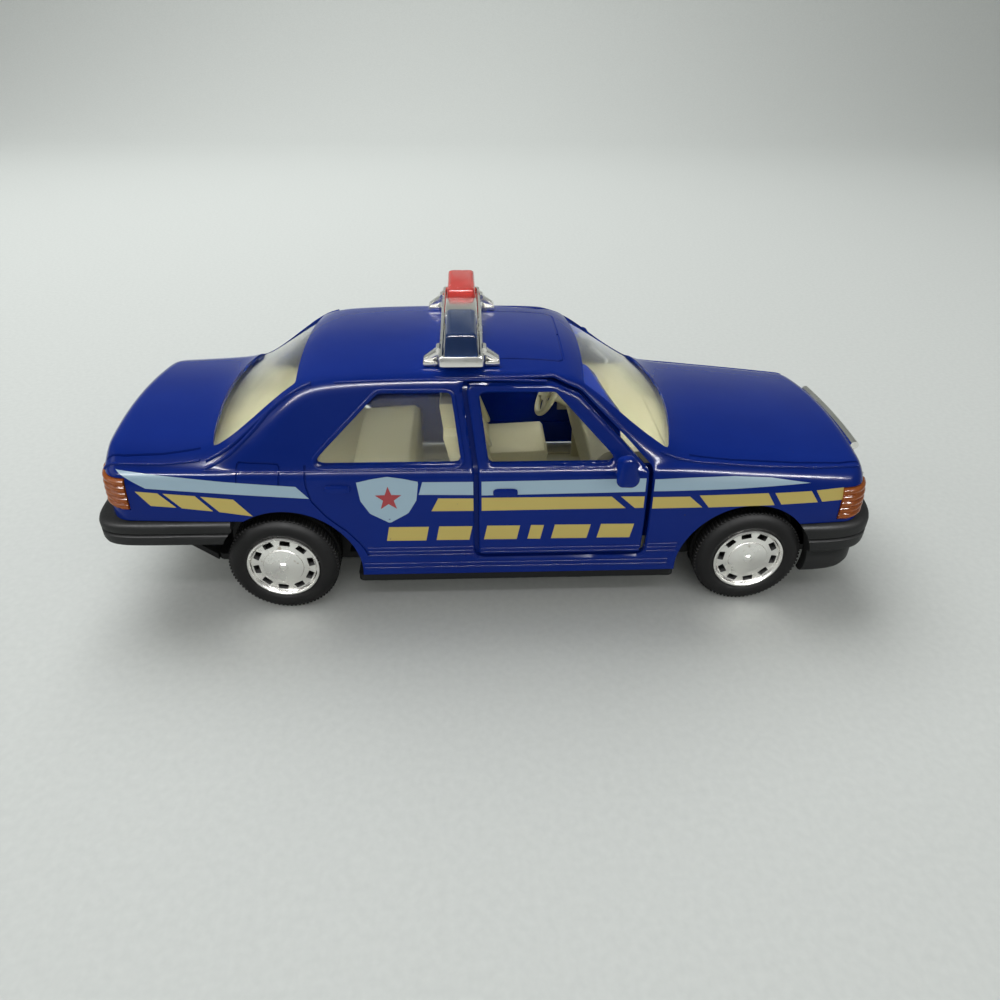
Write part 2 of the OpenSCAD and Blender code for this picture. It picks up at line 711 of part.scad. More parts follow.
module steering_wheel() {
    color(cream) difference() {
        column_place() {
            translate([0, 0, -column_d]) cylinder(d = column_d, h = column_l + column_d);
            translate([0, 0, column_l]) {
                rotate_extrude() translate([(wheel_d - wheel_rim_d) / 2, 0])
                    circle(d = wheel_rim_d, $fn = 24);
                cylinder(d = 2 * column_d, h = wheel_rim_d / 2);
                for (a = [0, 120, 240]) rotate([0, 0, a]) translate([0, -wheel_rim_d / 2, 0])
                    cube([(wheel_d - wheel_rim_d) / 2, wheel_rim_d, wheel_rim_d / 2]);
            }
        }
        // The column ends flat against the dashboard
        translate([dash_x[0] - seat_gap, 0, dash_z[0]]) cube([column_l, 2 * seat_y, dash_z[1] - dash_z[0]]);
    }
}

// Chassis: flat base plate with axle bearings, rising behind the rear wheels
base_half_w = 20;
well_half_w = 13.6;
well_l = 23;
well_r = 9.8;
well_top_z = 13.6;
bearing_y = 9.6;
bearing_t = 2.6;
bearing_l = 5;
base_front_set = 3;
base_rear_l = 13;
plate_corner_r = 1;
base_end_x = [nose_x - base_front_set, rear_x - base_rear_l];
motor_half_w = 7.6;
motor_wall = 0.9;
motor_top_z = 16.3;
motor_rear_l = 5.4;
motor_front_l = 13.6;
motor_x = [rear_x - motor_rear_l, rear_x + motor_front_l];
ramp_rise = 9;

module axle_hole(x, len) {
    translate([x, -len / 2, axle_z]) rotate([-90, 0, 0]) cylinder(d = axle_d + 2 * run_gap, h = len);
}

module chassis_base() {
    color(black) difference() {
        union() {
            difference() {
                translate([0, 0, base_z]) linear_extrude(base_t) rounded(plate_corner_r) difference() {
                    translate([base_end_x[1], -base_half_w])
                        square([base_end_x[0] - base_end_x[1], 2 * base_half_w]);
                    for (x = [front_x, rear_x], s = [-1, 1])
                        translate([x - well_l / 2, s > 0 ? well_half_w : -well_half_w - half_w])
                            square([well_l, half_w]);
                    for (s = [-1, 1], x = [rear_x - car_l / 2, front_x])
                        translate([x, s > 0 ? well_half_w : -well_half_w - half_w])
                            square([car_l / 2, half_w]);
                }
                translate([motor_x[0] - seat_gap, -motor_half_w - seat_gap, base_z - over])
                    cube([motor_x[1] - motor_x[0] + 2 * seat_gap, 2 * (motor_half_w + seat_gap),
                        base_t + 2 * over]);
            }
            // Ramp up to the rear bumper
            side_prism(-well_half_w, well_half_w) polygon([
                [base_end_x[1], base_z], [base_end_x[1], base_z + base_t],
                [tail_x + bumper_t, base_z + base_t + ramp_rise], [tail_x + bumper_t, base_z + ramp_rise]]);
            // Bearings of the front axle
            for (s = [-1, 1]) translate([front_x - bearing_l / 2, s * bearing_y - bearing_t / 2, base_z])
                cube([bearing_l, bearing_t, axle_z + axle_d - base_z]);
            // Inner wall of each wheel well
            for (x = [front_x, rear_x], s = [-1, 1])
                translate([x, s * (well_half_w - base_t / 2) - base_t / 2, 0]) intersection() {
                    translate([0, 0, axle_z]) rotate([-90, 0, 0]) cylinder(r = well_r, h = base_t);
                    translate([-well_r, 0, base_z]) cube([2 * well_r, base_t, well_top_z - base_z]);
                }
            // Ribs along the floor
            for (s = [-1, 1]) translate([motor_x[1] + base_t, s * bearing_y - base_t / 2, base_z])
                cube([front_x - bearing_l - motor_x[1] - 2 * base_t, base_t, base_t + seat_gap / 2]);
        }
        axle_hole(front_x, body_w);
        axle_hole(rear_x, body_w);
        for (x = screw_x) translate([x, 0, base_z - over]) {
            cylinder(d = screw_d + 4 * run_gap, h = base_t + ramp_rise);
            cylinder(d = 2 * screw_d + 4 * run_gap, h = over + base_t / 2);
        }
    }
}

cross_l = 3.4;
cross_w = 0.5;
module base_screws() {
    color(chrome) for (x = screw_x) translate([x, 0, base_z + run_gap]) difference() {
        union() {
            cylinder(d = 2 * screw_d, h = base_t / 2 - run_gap);
            cylinder(d = screw_d - 2 * run_gap, h = screw_l);
        }
        for (a = [0, 90]) rotate([0, 0, a]) translate([-cross_l / 2, -cross_w / 2, -over])
            cube([cross_l, cross_w, over + base_t / 4]);
    }
}

// Plan outline of a bumper: a squared round as deep as the overhang
bow_shares = [for (i = [-12:12]) sin(90 * i / 12)];
front_square = 5;
rear_square = 9;
function end_plan(w, l, n) = [for (k = bow_shares) [l * pow(1 - pow(abs(k), n), 1 / n), w * k]];
module end_slice(x0, w, l, z, inset, n) {
    translate([x0, 0, z]) linear_extrude(seat_gap) polygon(end_plan(w - inset, l - inset, n));
}
module end_solid(x0, w, l, z0, z1, n) {
    hull() {
        end_slice(x0, w, l, z0, bumper_edge, n);
        end_slice(x0, w, l, z0 + bumper_edge, 0, n);
        end_slice(x0, w, l, z1 - bumper_edge - seat_gap, 0, n);
        end_slice(x0, w, l, z1 - seat_gap, bumper_edge, n);
    }
}

bumper_edge = 0.9;
front_bumper_share = 0.352;
front_bumper_x = car_l * front_bumper_share;
spoiler_set = 1.1;
spoiler_share = 0.48;
rear_bumper_share = 0.328;
rear_bumper_x = car_l * rear_bumper_share;
bumper_h = 4.2;
bumper_flange = 3;
module front_bumper() {
    l = car_l / 2 - front_bumper_x;
    w = wide_half_w - spoiler_set / 4;
    mid_z = front_spoiler_z + spoiler_share * (front_bumper_z - front_spoiler_z);
    color(black) difference() {
        union() {
            end_solid(front_bumper_x, w, l, mid_z, front_bumper_z, front_square);
            end_solid(front_bumper_x, w - spoiler_set, l - spoiler_set, front_spoiler_z,
                mid_z + bumper_edge, front_square);
        }
        end_solid(front_bumper_x - over, w - bumper_t - spoiler_set, l + over - bumper_t - spoiler_set,
            base_z, front_bumper_z - bumper_t, front_square);
        translate([arch_x[0], -half_w - over, axle_z]) rotate([-90, 0, 0])
            cylinder(r = front_arch_r, h = body_w + 2 * over);
        translate([0, -half_w - over, 0]) cube([front_x, body_w + 2 * over, bar_top_z]);
    }
}

module rear_bumper() {
    l = car_l / 2 - rear_bumper_x;
    w = wide_half_w - spoiler_set / 4;
    bar_z = rear_bumper_z - bumper_h;
    color(black) mirror([1, 0, 0]) difference() {
        union() {
            end_solid(rear_bumper_x, w, l, bar_z, rear_bumper_z, rear_square);
            end_solid(rear_bumper_x, w - 2 * spoiler_set, l - spoiler_set, rear_apron_z,
                bar_z + bumper_edge, rear_square);
        }
        end_solid(rear_bumper_x - over, w - bumper_t - 2 * spoiler_set, l + over - bumper_t - spoiler_set,
            base_z, rear_bumper_z - bumper_t, rear_square);
        end_solid(rear_bumper_x - over, w - bumper_t - bumper_flange, l + over - bumper_t - bumper_flange,
            rear_bumper_z - 2 * bumper_t, rear_bumper_z + over, rear_square);
        translate([-arch_x[1], -half_w - over, axle_z]) rotate([-90, 0, 0])
            cylinder(r = rear_arch_r, h = body_w + 2 * over);
        translate([0, -half_w - over, 0]) cube([-rear_x, body_w + 2 * over, bar_top_z]);
    }
}

// Chromed grille with upright bars in a frame
grille_rim = 0.9;
grille_bars = 11;
module front_grille() {
    bar = (grille_w - 2 * grille_rim) / (2 * grille_bars - 1);
    color(chrome) {
        difference() {
            grille_box();
            translate([nose_x, -grille_w / 2 + grille_rim, front_bumper_z + seat_gap + grille_rim])
                cube([grille_t, grille_w - 2 * grille_rim, grille_h - 2 * grille_rim]);
        }
        for (i = [0:grille_bars - 1])
            translate([nose_x - grille_rim, -grille_w / 2 + grille_rim + 2 * i * bar,
                front_bumper_z + seat_gap])
                cube([grille_rim + grille_proud / 2, bar, grille_h - grille_rim / 2]);
    }
}

// Corner lamps take the outer form of the body
module lamp_form() {
    difference() {
        body_form(0, sill_z, false);
        translate([tail_x + lamp_depth + end_bow + tail_lamp_l, -half_w + lamp_depth, 0])
            cube([nose_x - tail_x - 2 * end_bow - 2 * lamp_depth - tail_lamp_l - indicator_l,
                body_w - 2 * lamp_depth, bar_top_z]);
    }
}
module right_headlight() { color(clear) intersection() { lamp_form(); headlight_box(); } }
module left_headlight() { mirror([0, 1, 0]) right_headlight(); }
module right_indicator() { color(amber) intersection() { lamp_form(); indicator_box(); } }
module left_indicator() { mirror([0, 1, 0]) right_indicator(); }
module right_tail_lamp() { color(amber) intersection() { lamp_form(); tail_lamp_box(); } }
module left_tail_lamp() { mirror([0, 1, 0]) right_tail_lamp(); }

// Light bar: chromed base on four splayed feet, one dome each side of a centre block
bar_base_t = 1.2;
bar_base_z = 40.4;
bar_foot_y = 12;
bar_foot_t = 1.3;
bar_block_w = 8;
bar_block_h = 2.6;
dome_gap = 0.2;
dome_w = 5;
dome_top_share = 0.8;
module lightbar_base() {
    foot_z = top_z(-bar_x, bar_foot_y, 0) + seat_gap;
    root_x = bar_w / 2 - bar_foot_t;
    toe_x = bar_foot_l / 2;
    color(chrome) translate([-bar_x, 0, 0]) {
        translate([-bar_w / 2, -bar_l / 2, bar_base_z]) cube([bar_w, bar_l, bar_base_t]);
        translate([-dome_w / 2, -bar_block_w / 2, bar_base_z + bar_base_t])
            cube([dome_w, bar_block_w, bar_block_h]);
        for (s = [-1, 1], e = [-1, 1]) {
            translate([0, s * bar_foot_y + bar_foot_t / 2, 0]) rotate([90, 0, 0]) linear_extrude(bar_foot_t)
                polygon([[e * root_x, bar_base_z], [e * root_x, bar_base_z + bar_base_t],
                    [e * (toe_x - bar_foot_t), bar_base_z + bar_base_t / 2],
                    [e * toe_x, foot_z + bar_foot_t / 2], [e * toe_x, foot_z],
                    [e * (toe_x - 2 * bar_foot_t), foot_z],
                    [e * (toe_x - 2 * bar_foot_t), foot_z + bar_foot_t / 3]]);
            translate([e * (toe_x - bar_foot_t) - bar_foot_t, s * bar_foot_y - bar_foot_t, foot_z])
                cube([2 * bar_foot_t, 2 * bar_foot_t, bar_foot_t / 2]);
        }
    }
}

module dome(side) {
    y0 = bar_block_w / 2 + dome_gap;
    y1 = bar_l / 2 - dome_gap;
    z0 = bar_base_z + bar_base_t;
    t = dome_w * dome_top_share;
    e = dome_w / 10;
    translate([-bar_x, side > 0 ? y0 : -y1, 0]) hull() {
        translate([-dome_w / 2, 0, z0]) cube([dome_w, y1 - y0, e]);
        translate([-t / 2, e, bar_top_z - e]) cube([t, y1 - y0 - 2 * e, e / 2]);
        translate([-t / 2 + e, 2 * e, bar_top_z - e]) cube([t - 2 * e, y1 - y0 - 4 * e, e]);
    }
}
module lightbar_blue_dome() { color("#23406e") dome(-1); }
module lightbar_red_dome() { color("#d8463f") dome(1); }

// Wheels: a tyre with a channelled tread round a chromed hub with ten slots
slot_n = 10;
slot_l = 1.7;
slot_w = 1;
slot_r_share = 0.76;
rim_t = 3.4;
axle_grip = 1;
rim_lip = 0.5;
rim_dish = 0.6;
cap_share = 0.55;
tyre_round = 0.9;

module right_tyre(x) {
    r = tyre_d / 2;
    b = rim_d / 2 + press_gap;
    color(black) translate([x, -track_w / 2, axle_z]) rotate([-90, 0, 0]) rotate_extrude($fn = 96) polygon([
        [b, rim_lip], [b + rim_lip, 0], [(b + r) / 2, 0], [r - tyre_round, rim_lip / 2],
        [r - tyre_round / 4, tyre_round / 2], [r, tyre_round], [r, tyre_w / 2 - rim_lip],
        [r - rim_lip, tyre_w / 2 - rim_lip / 2], [r - rim_lip, tyre_w / 2 + rim_lip / 2],
        [r, tyre_w / 2 + rim_lip], [r, tyre_w - tyre_round], [r - tyre_round / 2, tyre_w - rim_lip / 2],
        [r - 2 * tyre_round, tyre_w], [b, tyre_w]]);
}

module right_rim(x) {
    r = rim_d / 2;
    color(chrome) translate([x, -track_w / 2, axle_z]) rotate([-90, 0, 0]) difference() {
        rotate_extrude($fn = 96) polygon([
            [0, rim_dish / 2], [r * cap_share, rim_dish / 2], [r * cap_share, rim_dish],
            [r - 2 * rim_lip, rim_dish + rim_lip],
            [r - rim_lip, 0], [r, rim_lip], [r, tyre_w], [r - rim_lip, tyre_w], [r - 2 * rim_lip, rim_t],
            [axle_d, rim_t], [axle_d, tyre_w - rim_lip], [0, tyre_w - rim_lip]]);
        for (i = [0:slot_n - 1]) rotate([0, 0, 360 * i / slot_n])
            translate([r * slot_r_share - slot_w / 2, -slot_l / 2, -over])
                cube([slot_w, slot_l, over + 3 * rim_dish]);
        translate([0, 0, rim_t - axle_grip]) cylinder(d = axle_d, h = tyre_w);
    }
}

module axle(x) {
    l = track_w - 2 * (rim_t - axle_grip) - 2 * press_gap;
    color(chrome) translate([x, -l / 2, axle_z]) rotate([-90, 0, 0])
        cylinder(d = axle_d - 2 * press_gap, h = l);
}

module front_axle() { axle(front_x); }
module rear_axle() { axle(rear_x); }
module front_right_tyre() { right_tyre(front_x); }
module front_left_tyre() { mirror([0, 1, 0]) right_tyre(front_x); }
module rear_right_tyre() { right_tyre(rear_x); }
module rear_left_tyre() { mirror([0, 1, 0]) right_tyre(rear_x); }
module front_right_rim() { right_rim(front_x); }
module front_left_rim() { mirror([0, 1, 0]) right_rim(front_x); }
module rear_right_rim() { right_rim(rear_x); }
module rear_left_rim() { mirror([0, 1, 0]) right_rim(rear_x); }

// Pull-back motor: a pinion on the rear axle turns the winding gear, which coils the mainspring
winding_rise = 1.6;
centre_l = gear_m * (pinion_n + winding_n) / 2;
winding_x = rear_x + sqrt(centre_l * centre_l - winding_rise * winding_rise);
winding_z = axle_z + winding_rise;
arbor_d = 1.6;
gear_y = -5.6;
// Tooth outline: share of half the pitch, and share of the module above the pitch line
tooth_shares = [[-0.56, -1.2], [-0.22, 0.85], [0.22, 0.85], [0.56, -1.2]];
spring_t = 0.25;
spring_w = 5.6;
spring_turns = 4;
spring_pitch = 0.6;

module gear_outline(n, phase) {
    r = gear_m * n / 2;
    p = 360 / n;
    polygon([for (i = [0:n - 1]) each
        [for (k = tooth_shares) let (a = phase + p * (i + k[0] / 2), q = r + k[1] * gear_m)
            [q * cos(a), q * sin(a)]]]);
}

module gear(n, phase, bore) {
    translate([0, gear_y + gear_w, 0]) rotate([90, 0, 0]) difference() {
        linear_extrude(gear_w) gear_outline(n, phase);
        translate([0, 0, -over]) cylinder(d = bore, h = gear_w + 2 * over);
    }
}

// Line of centres of the two gears, so that a tooth of one faces a space of the other
mesh_a = atan2(winding_rise, winding_x - rear_x);
module axle_pinion() {
    color(cream) translate([rear_x, 0, axle_z]) gear(pinion_n, mesh_a, axle_d);
}

module winding_gear() {
    color(cream) translate([winding_x, 0, winding_z]) {
        gear(winding_n, mesh_a + 180 + 180 / winding_n, arbor_d / 2);
        translate([0, motor_half_w - motor_wall - run_gap, 0]) rotate([90, 0, 0])
            cylinder(d = arbor_d, h = 2 * (motor_half_w - motor_wall - run_gap));
    }
}

// Flat coil spring wound on the arbor
coil_steps = 24;
module mainspring() {
    n = coil_steps * spring_turns;
    function turn(i, d) =
        let (a = 360 * i / coil_steps, r = arbor_d / 2 + spring_t / 4 + spring_pitch * i / coil_steps + d)
        [r * cos(a), r * sin(a)];
    color(chrome) translate([winding_x, gear_y + gear_w + spring_w + 4 * run_gap, winding_z])
        rotate([90, 0, 0]) linear_extrude(spring_w)
            polygon(concat([for (i = [0:n]) turn(i, 0)], [for (i = [n:-1:0]) turn(i, spring_t)]));
}

module motor_case() {
    color(grey) difference() {
        right_box(motor_x[0], motor_x[1], -motor_half_w, motor_half_w, base_z + base_t / 2, motor_top_z);
        right_box(motor_x[0] + motor_wall, motor_x[1] - motor_wall,
            motor_wall - motor_half_w, motor_half_w - motor_wall, 0, motor_top_z - motor_wall);
        axle_hole(rear_x, body_w);
    }
}

module motor_cover() {
    color(grey) right_box(motor_x[0], motor_x[1], -motor_half_w, motor_half_w,
        base_z + run_gap, base_z + base_t / 2 - run_gap);
}

body_shell();
window_glazing();
interior_tub();
right_front_seat();
left_front_seat();
dashboard();
steering_wheel();
chassis_base();
front_bumper();
rear_bumper();
front_grille();
right_headlight();
left_headlight();
right_indicator();
left_indicator();
right_tail_lamp();
left_tail_lamp();
lightbar_base();
lightbar_blue_dome();
lightbar_red_dome();
base_screws();
motor_case();
motor_cover();
right_hinge_pin();
left_hinge_pin();
right_front_door();
right_hinge_leaf();
right_mirror();
left_front_door();
left_hinge_leaf();
left_mirror();
front_axle();
front_right_rim();
front_left_rim();
front_right_tyre();
front_left_tyre();
rear_axle();
rear_right_rim();
rear_left_rim();
rear_right_tyre();
rear_left_tyre();
axle_pinion();
winding_gear();
mainspring();
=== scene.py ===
import math
import bpy
import bmesh
import numpy as np
from mathutils import Matrix, Vector


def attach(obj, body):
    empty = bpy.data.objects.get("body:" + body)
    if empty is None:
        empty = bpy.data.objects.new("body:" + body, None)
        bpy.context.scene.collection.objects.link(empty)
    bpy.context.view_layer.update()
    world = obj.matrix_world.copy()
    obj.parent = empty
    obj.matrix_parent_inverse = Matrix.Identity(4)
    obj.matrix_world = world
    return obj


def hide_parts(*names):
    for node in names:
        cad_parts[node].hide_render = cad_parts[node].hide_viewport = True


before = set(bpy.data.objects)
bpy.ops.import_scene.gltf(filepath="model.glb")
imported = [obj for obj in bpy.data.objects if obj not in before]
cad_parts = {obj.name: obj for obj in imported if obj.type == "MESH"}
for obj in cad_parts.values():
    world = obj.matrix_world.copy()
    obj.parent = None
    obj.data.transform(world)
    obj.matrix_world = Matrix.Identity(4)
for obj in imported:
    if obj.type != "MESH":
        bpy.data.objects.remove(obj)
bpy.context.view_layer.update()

# Studio: the camera stands where the photograph was taken, close above the right side of the car.
# A pale sweep of board is the floor and the wall, lit by a soft window lamp, two fills and a ceiling strip.
mm = 0.001
scene = bpy.context.scene
scene.view_settings.view_transform = "Standard"
camera_place = Vector((-4.672, -117.219, 84.622)) * mm
yaw, pitch, roll = math.radians(2.839), math.radians(33.527), math.radians(0.763)
ahead = Vector((math.sin(yaw) * math.cos(pitch), math.cos(yaw) * math.cos(pitch), -math.sin(pitch)))
level = Vector((math.cos(yaw), -math.sin(yaw), 0))
upward = level.cross(ahead)
view_x = level * math.cos(roll) + upward * math.sin(roll)
view_y = upward * math.cos(roll) - level * math.sin(roll)


def add_object(name, data):
    made = bpy.data.objects.new(name, data)
    scene.collection.objects.link(made)
    return made


camera = add_object("photo_view", bpy.data.cameras.new("photo_view"))
camera.data.sensor_width = 36
camera.data.lens = 27.05
camera.data.clip_start = 0.005
camera.matrix_world = Matrix.Translation(camera_place) @ Matrix((view_x, view_y, -ahead)).transposed().to_4x4()
scene.camera = camera
car_middle = Vector((0, 0, 0.02))


def add_lamp(name, place, size, watts, tint=(1, 1, 1)):
    lamp = add_object(name, bpy.data.lights.new(name, "AREA"))
    lamp.data.shape = "RECTANGLE"
    lamp.data.size, lamp.data.size_y = size
    lamp.data.energy = watts
    lamp.data.color = tint
    lamp.location = place
    lamp.rotation_euler = (car_middle - Vector(place)).to_track_quat("-Z", "Y").to_euler()
    return lamp


window_lamp = add_lamp("window_lamp", (-0.15, 0.32, 0.55), (0.6, 0.45), 3.9, (0.97, 0.985, 1))
side_fill = add_lamp("side_fill", (0.1, -0.6, 0.35), (0.7, 0.3), 1.0, (1, 0.99, 0.97))
ceiling_strip = add_lamp("ceiling_strip", (0, -0.27, 0.43), (0.9, 0.03), 14)
ceiling_strip.visible_diffuse = False
for soft_lamp in (window_lamp, side_fill):
    soft_lamp.visible_glossy = False
add_lamp("end_fill", (-0.6, -0.1, 0.3), (0.4, 0.3), 0.6)

scene.world = bpy.data.worlds.new("studio_air")
scene.world.use_nodes = True
air = scene.world.node_tree.nodes["Background"].inputs
air["Color"].default_value = (0.80, 0.83, 0.82, 1)
air["Strength"].default_value = 0.3


def new_material(name, **values):
    material = bpy.data.materials.new(name)
    material.use_nodes = True
    shader = material.node_tree.nodes["Principled BSDF"]
    for socket, value in values.items():
        shader.inputs[socket.replace("_", " ")].default_value = value
    return material, material.node_tree, shader


def link(tree, *wires):
    for source, output, target, into in wires:
        tree.links.new(source.outputs[output], target.inputs[into])


def node(tree, kind, **values):
    made = tree.nodes.new(kind)
    for key, value in values.items():
        if hasattr(made, key):
            setattr(made, key, value)
        else:
            made.inputs[key.replace("_", " ")].default_value = value
    return made


def object_noise(tree, **values):
    at = tree.nodes.new("ShaderNodeTexCoord")
    noise = node(tree, "ShaderNodeTexNoise", **values)
    link(tree, (at, "Object", noise, "Vector"))
    return noise


# The colour sockets of a Mix node, by number because their names repeat
mix_first, mix_second, mix_result = 6, 7, 2


def two_tone(tree, source, output, first, second):
    mix = node(tree, "ShaderNodeMix", data_type="RGBA")
    mix.inputs[mix_first].default_value = (*first, 1)
    mix.inputs[mix_second].default_value = (*second, 1)
    link(tree, (source, output, mix, 0))
    return mix


board, tree, shader = new_material("pale_board", Roughness=0.85)
tint = two_tone(tree, object_noise(tree, Scale=900), "Fac", (0.54, 0.56, 0.535), (0.62, 0.64, 0.61))
link(tree, (tint, mix_result, shader, "Base Color"))
bend_y, bend_r, board_half_w = 0.45, 0.25, 1.6
sweep_side = np.concatenate([
    np.linspace(-1.2, bend_y, 8)[:, None] * [1, 0],
    [[bend_y + bend_r * math.sin(a), bend_r - bend_r * math.cos(a)] for a in np.linspace(0.1, 1.5, 12)],
    [[0.72, 0.9]]])
sweep = bpy.data.meshes.new("board_sweep")
sweep.from_pydata([(x, y, z) for y, z in sweep_side for x in (-board_half_w, board_half_w)], [],
                  [(2 * i, 2 * i + 1, 2 * i + 3, 2 * i + 2) for i in range(len(sweep_side) - 1)])
sweep.polygons.foreach_set("use_smooth", [True] * len(sweep.polygons))
sweep.materials.append(board)
board_object = add_object("board_sweep", sweep)

# Body shell: one zinc casting with bonnet, roof, boot and rear doors, sprayed with gloss blue enamel.
# The casting is a loft: one section rule swept from tail to nose, hollowed by the same rule set in by
# the wall, with the doors, windows, wheel arches and lamps cut through it.
half_w, wall, door_gap, seat_gap = 23, 1.2, 0.7, 0.15
nose_x, tail_x, front_x, rear_x, axle_z = 59.5, -60.5, 41, -34.5, 8.75
sill_z, wide_z, belt_z, deck_z, roof_rear_z, core_z = 7.5, 16, 26.2, 30.2, 40.1, 15
nose_half_w, tail_half_w, corner_r, end_r = 21.4, 21.8, 3.8, 2.6
shoulder_r, roof_edge_r, crown, end_bow, screen_bow, belt_ledge = 4.6, 2, 2.2, 1.2, 2.4, 0.8
taper_x, side_blend, belt_blend = 20, 4, 0.5
tuck_share, upper_share, lean_share = 0.09, 0.1, 0.42
profile = np.array([[tail_x, 29.7], [-43.5, deck_z], [-30, roof_rear_z], [-9, 41], [12, 40.1],
                    [28.5, 28.7], [nose_x, 25.6]])
profile_slopes = np.diff(profile[:, 1]) / np.diff(profile[:, 0])
knot_radii = [0, 3.06, 3.06, 18.45, 3.06, 3.06]


def hinge_blend(d, r):
    return (d + np.sqrt(d * d + r * r)) / 2


def round_over(d, r):
    t = np.clip(d / r, 0, 1)
    return r * (1 - np.sqrt(1 - t * t))


def profile_z(x):
    z = profile[0, 1] + profile_slopes[0] * (x - profile[0, 0])
    for i in range(1, 6):
        z = z + (profile_slopes[i] - profile_slopes[i - 1]) * hinge_blend(x - profile[i, 0], knot_radii[i])
    return z


def plan_w(x, inset):
    return (half_w - inset
            - (half_w - nose_half_w) * (np.maximum(0, x - taper_x) / (nose_x - taper_x)) ** 2
            - (half_w - tail_half_w) * (np.maximum(0, -taper_x - x) / (-taper_x - tail_x)) ** 2
            - round_over(x - (nose_x - inset - corner_r), corner_r)
            - round_over((tail_x + inset + corner_r) - x, corner_r))


def side_in(z):
    step = (1 + (z - belt_z) / np.sqrt((z - belt_z) ** 2 + belt_blend ** 2)) / 2
    return (tuck_share * hinge_blend(wide_z - z, side_blend)
            + upper_share * hinge_blend(z - wide_z, side_blend)
            + (lean_share - upper_share) * hinge_blend(z - belt_z, belt_blend) + belt_ledge * step)


def top_z(x, y, inset):
    u = y / half_w
    s = np.clip(x / taper_x, -1, 1)
    return (profile_z(x + screen_bow * s * u * u) - crown * u * u - inset
            - round_over(x - (nose_x - inset - end_r), end_r)
            - round_over((tail_x + inset + end_r) - x, end_r))


def depth(x, y, z, inset):
    a = y - plan_w(x, inset) + side_in(z)
    t = top_z(x, y, inset)
    b = z - t
    k = np.clip((t - deck_z) / (roof_rear_z - deck_z), 0, 1)
    r = shoulder_r + k * k * (3 - 2 * k) * (roof_edge_r - shoulder_r)
    h = np.maximum(0, r - np.abs(a - b))
    return np.maximum(a, b) + h * h / (4 * r)


def bow_x(x, y):
    f = np.maximum(0, (x - front_x) / (nose_x - front_x))
    r = np.maximum(0, (rear_x - x) / (rear_x - tail_x))
    return x - end_bow * (f * f - r * r) * (y / half_w) ** 2


halvings, ray_count, far_out, far_aside = 36, 600, 50, 26


def halve(outside, lo, hi):
    for _ in range(halvings):
        mid = (lo + hi) / 2
        out = outside(mid)
        lo, hi = np.where(out, lo, mid), np.where(out, mid, hi)
    return (lo + hi) / 2


def body_sections(xs, inset, low_z, points):
    x = np.asarray(xs, float)[:, None]
    y0 = plan_w(x, inset) - side_in(low_z)
    a0 = np.arctan2(low_z - core_z, y0)
    a = a0 + np.linspace(0, 1, ray_count) * (math.pi / 2 - a0)
    c, s = np.cos(a), np.sin(a)
    d = halve(lambda m: depth(x, m * c, core_z + m * s, inset) > 0,
              np.zeros_like(a), np.full_like(a, far_out))
    d[:, 0] = np.hypot(y0, low_z - core_z)[:, 0]
    y, z = d * c, core_z + d * s
    y[:, -1] = 0
    rows = []
    for i in range(len(xs)):
        run = np.concatenate([[0], np.cumsum(np.hypot(np.diff(y[i]), np.diff(z[i])))])
        at = np.linspace(0, run[-1], points)
        rows.append(np.stack([np.full(points, xs[i]), np.interp(at, run, y[i]), np.interp(at, run, z[i])], 1))
    half = np.array(rows)
    half[..., 0] = bow_x(half[..., 0], half[..., 1])
    return np.concatenate([half * [1, -1, 1], half[:, -2::-1]], axis=1)


def polygon_distance(px, pz, outline):
    best = np.full(px.shape, 1e9)
    inside = np.zeros(px.shape, bool)
    for (ax, az), (bx, bz) in zip(outline, np.roll(outline, -1, axis=0)):
        dx, dz = bx - ax, bz - az
        t = np.clip(((px - ax) * dx + (pz - az) * dz) / (dx * dx + dz * dz), 0, 1)
        best = np.minimum(best, np.hypot(px - ax - t * dx, pz - az - t * dz))
        if az != bz:
            inside ^= ((az > pz) != (bz > pz)) & (px < (bx - ax) * (pz - az) / (bz - az) + ax)
    return np.where(inside, -best, best)


def offset_outline(points, d):
    points = np.asarray(points, float)
    edges = np.roll(points, -1, axis=0) - points
    normals = np.stack([edges[:, 1], -edges[:, 0]], 1) / np.linalg.norm(edges, axis=1)[:, None]
    moved = []
    for i in range(len(points)):
        n0, n1 = normals[i - 1], normals[i]
        moved.append(points[i] + (n0 + n1) * d / (1 + n0 @ n1))
    return np.array(moved)


def rounded_outline(points, r, steps=6):
    points = np.asarray(points, float)
    out = []
    for i in range(len(points)):
        p, a, b = points[i], points[i - 1], points[(i + 1) % len(points)]
        u, v = (a - p) / np.linalg.norm(a - p), (b - p) / np.linalg.norm(b - p)
        angle = math.acos(np.clip(u @ v, -1, 1))
        reach = min(r / math.tan(angle / 2), 0.45 * np.linalg.norm(a - p), 0.45 * np.linalg.norm(b - p))
        p0, p1 = p + u * reach, p + v * reach
        for t in np.linspace(0, 1, steps + 1):
            out.append((1 - t) ** 2 * p0 + 2 * t * (1 - t) * p + t * t * p1)
    return np.array(out)


def finish_mesh(piece, material, angle=35):
    mesh = piece.data
    if material:
        mesh.materials.clear()
        mesh.materials.append(material)
        mesh.polygons.foreach_set("material_index", [0] * len(mesh.polygons))
    mesh.polygons.foreach_set("use_smooth", [True] * len(mesh.polygons))
    mesh.set_sharp_from_angle(angle=math.radians(angle))


def raw_mesh(name, points, edges, faces):
    mesh = bpy.data.meshes.new(name)
    mesh.from_pydata((np.asarray(points) * mm).tolist(), edges, [tuple(face) for face in faces])
    return mesh


merge_within = 1e-5 * mm


